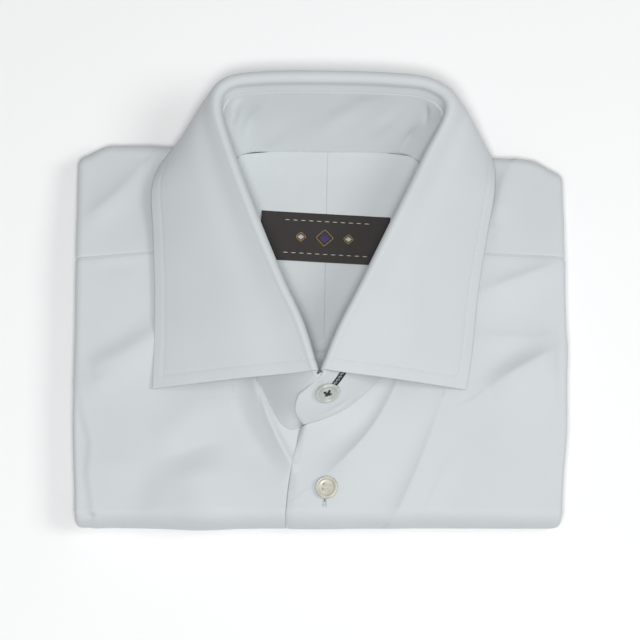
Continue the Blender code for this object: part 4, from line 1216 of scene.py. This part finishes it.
def on_overlap(x, y, above=0.0):
    """Points on the face of the overlapping front."""
    return on_body(x, y, overlap_lift(x, y) + above)


def make_front_button(material, thread):
    """The button, lying on the slope of the cloth under it and clear of its bumps."""
    x, y = FRONT_BUTTON
    reach = FRONT_BUTTON_RADIUS - 1.0
    near = np.array([(x + dx, y + dy) for dx in (-reach, 0, reach) for dy in (-reach, 0, reach)])
    points = on_overlap(near[:, 0], near[:, 1])
    slope_x = (points[6:, 2].mean() - points[:3, 2].mean()) / (2 * reach)
    slope_y = (points[2::3, 2].mean() - points[::3, 2].mean()) / (2 * reach)
    normal = unit(np.array([-slope_x, -slope_y, 1.0]))
    plane = points[4, 2] + slope_x * (near[:, 0] - x) + slope_y * (near[:, 1] - y)
    high = max(0.0, float((points[:, 2] - plane).max()))
    button = turned_button("button_shell_front", FRONT_BUTTON_RADIUS, material)
    cross = cross_thread("button_thread_front", thread, 0.32, 0.44, SIDE_BY_SIDE, (0.8, 1.28))
    seat = points[4] + [0.0, 0.0, high] + normal * BUTTON_GAP
    set_on_cloth([button, cross], seat, normal, math.radians(-62))
    return button, cross


def sewn_edge(name, path, normals, across, width, material, radius, space=0.3):
    """A close row of short strands lying across a path, as a buttonhole's edge is sewn."""
    normals, across = (np.broadcast_to(v, path.shape) for v in (normals, across))
    row = resampled(np.hstack([path, normals, across]), space)
    half = unit(row[:, 6:]) * width / 2
    ends = row[:, :3] - half, row[:, :3] + half
    return strands(name, *ends, row[:, 3:6], radius, material, raised=0.6)


def make_tab_buttonhole(navy, striped):
    """The dark buttonhole of the band's tab, which runs up from its button."""
    share = collar_button_seat()[0]
    places = np.linspace(share - TAB_HOLE_SHARE, share, 60)
    lines = np.array(TAB_HOLE_LINES)
    grid = band_grid(places, COLLAR_BUTTON_RISE + lines / TAB_HEIGHT)
    normals = surface_normals(grid)
    normals = normals * np.sign(normals[..., 2:3])
    face = grid + normals * (BAND / 2 + 0.12)
    run = end_distance(grid)[1][:, 2]
    keep = run < TAB_HOLE_LENGTH
    face, normals, run = face[keep], normals[keep], run[keep]
    across = (grid[:, 4] - grid[:, 0])[keep]
    made = [
        sewn_edge(f"buttonhole_tab_{name}", face[:, k], normals[:, k], across, 0.95, navy, 0.17)
        for name, k in (("low", 1), ("high", 3))
    ]
    strip = face[:, 1:4] - normals[:, 1:4] * 0.1
    uv = np.stack(np.meshgrid(run, [-1.0, 0.0, 1.0], indexing="ij"), axis=-1)
    slit = ("buttonhole_tab_slit", strip, 0.16, uv, striped)
    return made + [shell(*slit, centred=True, outward=(0, -1, 1))]


def make_front_buttonhole(thread, dark):
    """The upright white buttonhole of the front, whose foot shows under its button, with a dark
    sheet painted as the shade inside its slit.
    """
    x, y = FRONT_BUTTON
    x += FRONT_HOLE_X
    down = np.linspace(y + FRONT_HOLE_TOP, y + FRONT_HOLE_FOOT, 60)
    made = []
    for name, off in (("left", -FRONT_HOLE_EDGE), ("right", FRONT_HOLE_EDGE)):
        line = on_body(x + off, down, overlap_lift(x, down) + 0.05)
        made.append(
            sewn_edge(f"buttonhole_front_{name}", line, UP, (1.0, 0.0, 0.0), 0.85, thread, 0.15)
        )
    foot = on_overlap(x, y + FRONT_HOLE_FOOT - 0.1, 0.1)
    wide = np.linspace(foot - [1.1, 0, 0], foot + [1.1, 0, 0], 12)
    bar = ("buttonhole_front_bar", wide, UP, (0.0, 1.0, 0.0), 1.1, thread, 0.15, 0.26)
    made.append(sewn_edge(*bar))
    # Painted shade: a thin dark sheet stands in for the shade inside the part of the slit that
    # shows.
    shown = np.linspace(y + FRONT_HOLE_SLIT[0], y + FRONT_HOLE_SLIT[1], 12)
    spots = np.stack(np.meshgrid(x + np.array([-0.3, 0.0, 0.3]), shown), axis=-1)
    lifted = on_overlap(spots[..., 0], spots[..., 1], 0.06)
    made.append(shell("buttonhole_front_slit_shade", lifted, 0.1, spots, dark, centred=True))
    return made


def layer_height(x, y):
    """Height of the hidden stack under the side rolls and inside the neck."""
    rim = body_height(119.0, y) - 2 * SIDE_ROLL - 0.1
    inside = WELL_FLOOR - 0.4 + 2.0 * fade(np.abs(x), 104.0, 117.0)
    return np.minimum(rim, inside)


def layer_ring(wide, far, near, seed):
    """The outline of one hidden layer in plan, a little uneven, and its way outward."""
    corner = 9.0
    ring = []
    for sx, sy, start in ((1, 1, 0), (-1, 1, 90), (-1, -1, 180), (1, -1, 270)):
        for angle in np.radians(np.linspace(start, start + 90, 10)):
            x = sx * (wide - corner) + corner * math.cos(angle)
            edge = shoulder_start(x) + far - corner if sy > 0 else near + corner
            ring.append((x, float(edge) + corner * math.sin(angle), 0.0))
    ring = resampled(np.array(ring + ring[:1]), LAYER_STEP)[:-1, :2]
    run = np.gradient(ring, axis=0)
    out = unit(np.stack([run[:, 1], -run[:, 0]], axis=1))
    x, y = ring.T
    wave = 0.6 * ripple(x, y, seed, 22.0) + 0.25 * ripple(x, y, seed + 3, 7.0)
    return ring + out * wave[:, None], out


def make_hidden_layers(material):
    """The folded sleeves, sides and tail: four layers with rounded, uneven folded edges."""
    made = []
    count = len(LAYERS)
    turn = np.radians(np.linspace(90, -90, 11))
    insets = [24.0, 9.0, 4.0] + [0.0] * 11 + [4.0, 9.0, 24.0]
    heights = [1.0] * 3 + list(np.sin(turn)) + [-1.0] * 3
    bulge = [0.0] * 3 + list(np.cos(turn)) + [0.0] * 3
    for k, (name, *sizes) in enumerate(LAYERS):
        ring, out = layer_ring(*sizes)
        high = layer_height(ring[:, 0], ring[:, 1])
        bottom, top = high * k / count, high * (k + 1) / count
        middle, half = (bottom + top) / 2, (top - bottom) / 2
        levels = []
        for inset, height, grow in zip(insets, heights, bulge):
            plan = ring - out * (inset + half * (1 - grow))[:, None]
            levels.append(np.column_stack([plan, middle + half * height]))
        made.append(closed_layer(f"layer_{name}", drawn_in(np.stack(levels)), material))
    select_all_of(made)
    bpy.ops.object.join()
    whole = bpy.context.object
    whole.name = "cloth_hidden_layers"
    return whole


def closed_layer(name, points, material):
    """A closed mesh from rings of points, capped at its first and last ring."""
    rings, count = points.shape[:2]
    index = np.arange(rings * count).reshape(rings, count)
    after = np.roll(index, -1, axis=1)
    faces = np.stack([index[:-1], after[:-1], after[1:], index[1:]], axis=-1)
    caps = [index[0].tolist(), index[-1][::-1].tolist()]
    uv = np.meshgrid(np.arange(count) * LAYER_STEP, np.arange(rings) * 0.8)
    uv = np.stack(uv, axis=-1)
    piece = mesh_piece(name, points, faces.reshape(-1, 4).tolist() + caps, material, uv)
    bpy.ops.object.shade_smooth_by_angle(angle=math.radians(60))
    return piece


def main():
    make_camera()
    make_stage()
    make_lights()
    white = shirting("shirting", (0.60, 0.634, 0.645))
    thread = threaded("white thread", (0.59, 0.62, 0.63), 0.6)
    navy = threaded("navy thread", (0.012, 0.014, 0.03), 0.45)
    cream = threaded("cream thread", (0.6, 0.57, 0.5), 0.5)
    gold = threaded("gold thread", (0.42, 0.28, 0.05), 0.4)
    violet = threaded("violet thread", (0.07, 0.04, 0.16), 0.5)
    woven = label_weave("label weave")
    grey_shell = pearl("grey green shell", (0.44, 0.48, 0.44), (0.54, 0.57, 0.53))
    cream_shell = pearl("cream shell", (0.50, 0.50, 0.41), (0.58, 0.575, 0.475))
    # Painted shade: the slit's dark colour is the shade inside the front buttonhole's slit, given
    # through the thread shader.
    dark = threaded("slit", (0.16, 0.17, 0.18), 0.9)
    striped = striped_tape("striped tape")
    halves = (make_front, make_yoke_outer, make_yoke_inner)
    sheets = [make(side, white) for make in halves for side in (-1, 1)] + [make_back(white)]
    leaf, leaf_row = make_collar_leaf(white, thread)
    stand, stand_rows = make_collar_stand(white, thread)
    hidden = make_hidden_layers(white)
    label, label_marks = make_label(woven, cream, gold, violet)
    collar_button = make_collar_button(grey_shell, navy)
    front_button = make_front_button(cream_shell, cream)
    tab_hole = make_tab_buttonhole(navy, striped)
    front_hole = make_front_buttonhole(thread, dark)
    for name in CUTS:
        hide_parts(name.removeprefix("cloth_"))
    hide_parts("button_collar")
    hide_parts("button_front")
    dress(sheets + [leaf, leaf_row, stand, hidden] + stand_rows + front_hole)
    dress(tab_hole)
    dress([label] + label_marks)
    dress(collar_button)
    dress(front_button)


def dress(pieces):
    for piece in pieces:
        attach(piece, "root")


main()
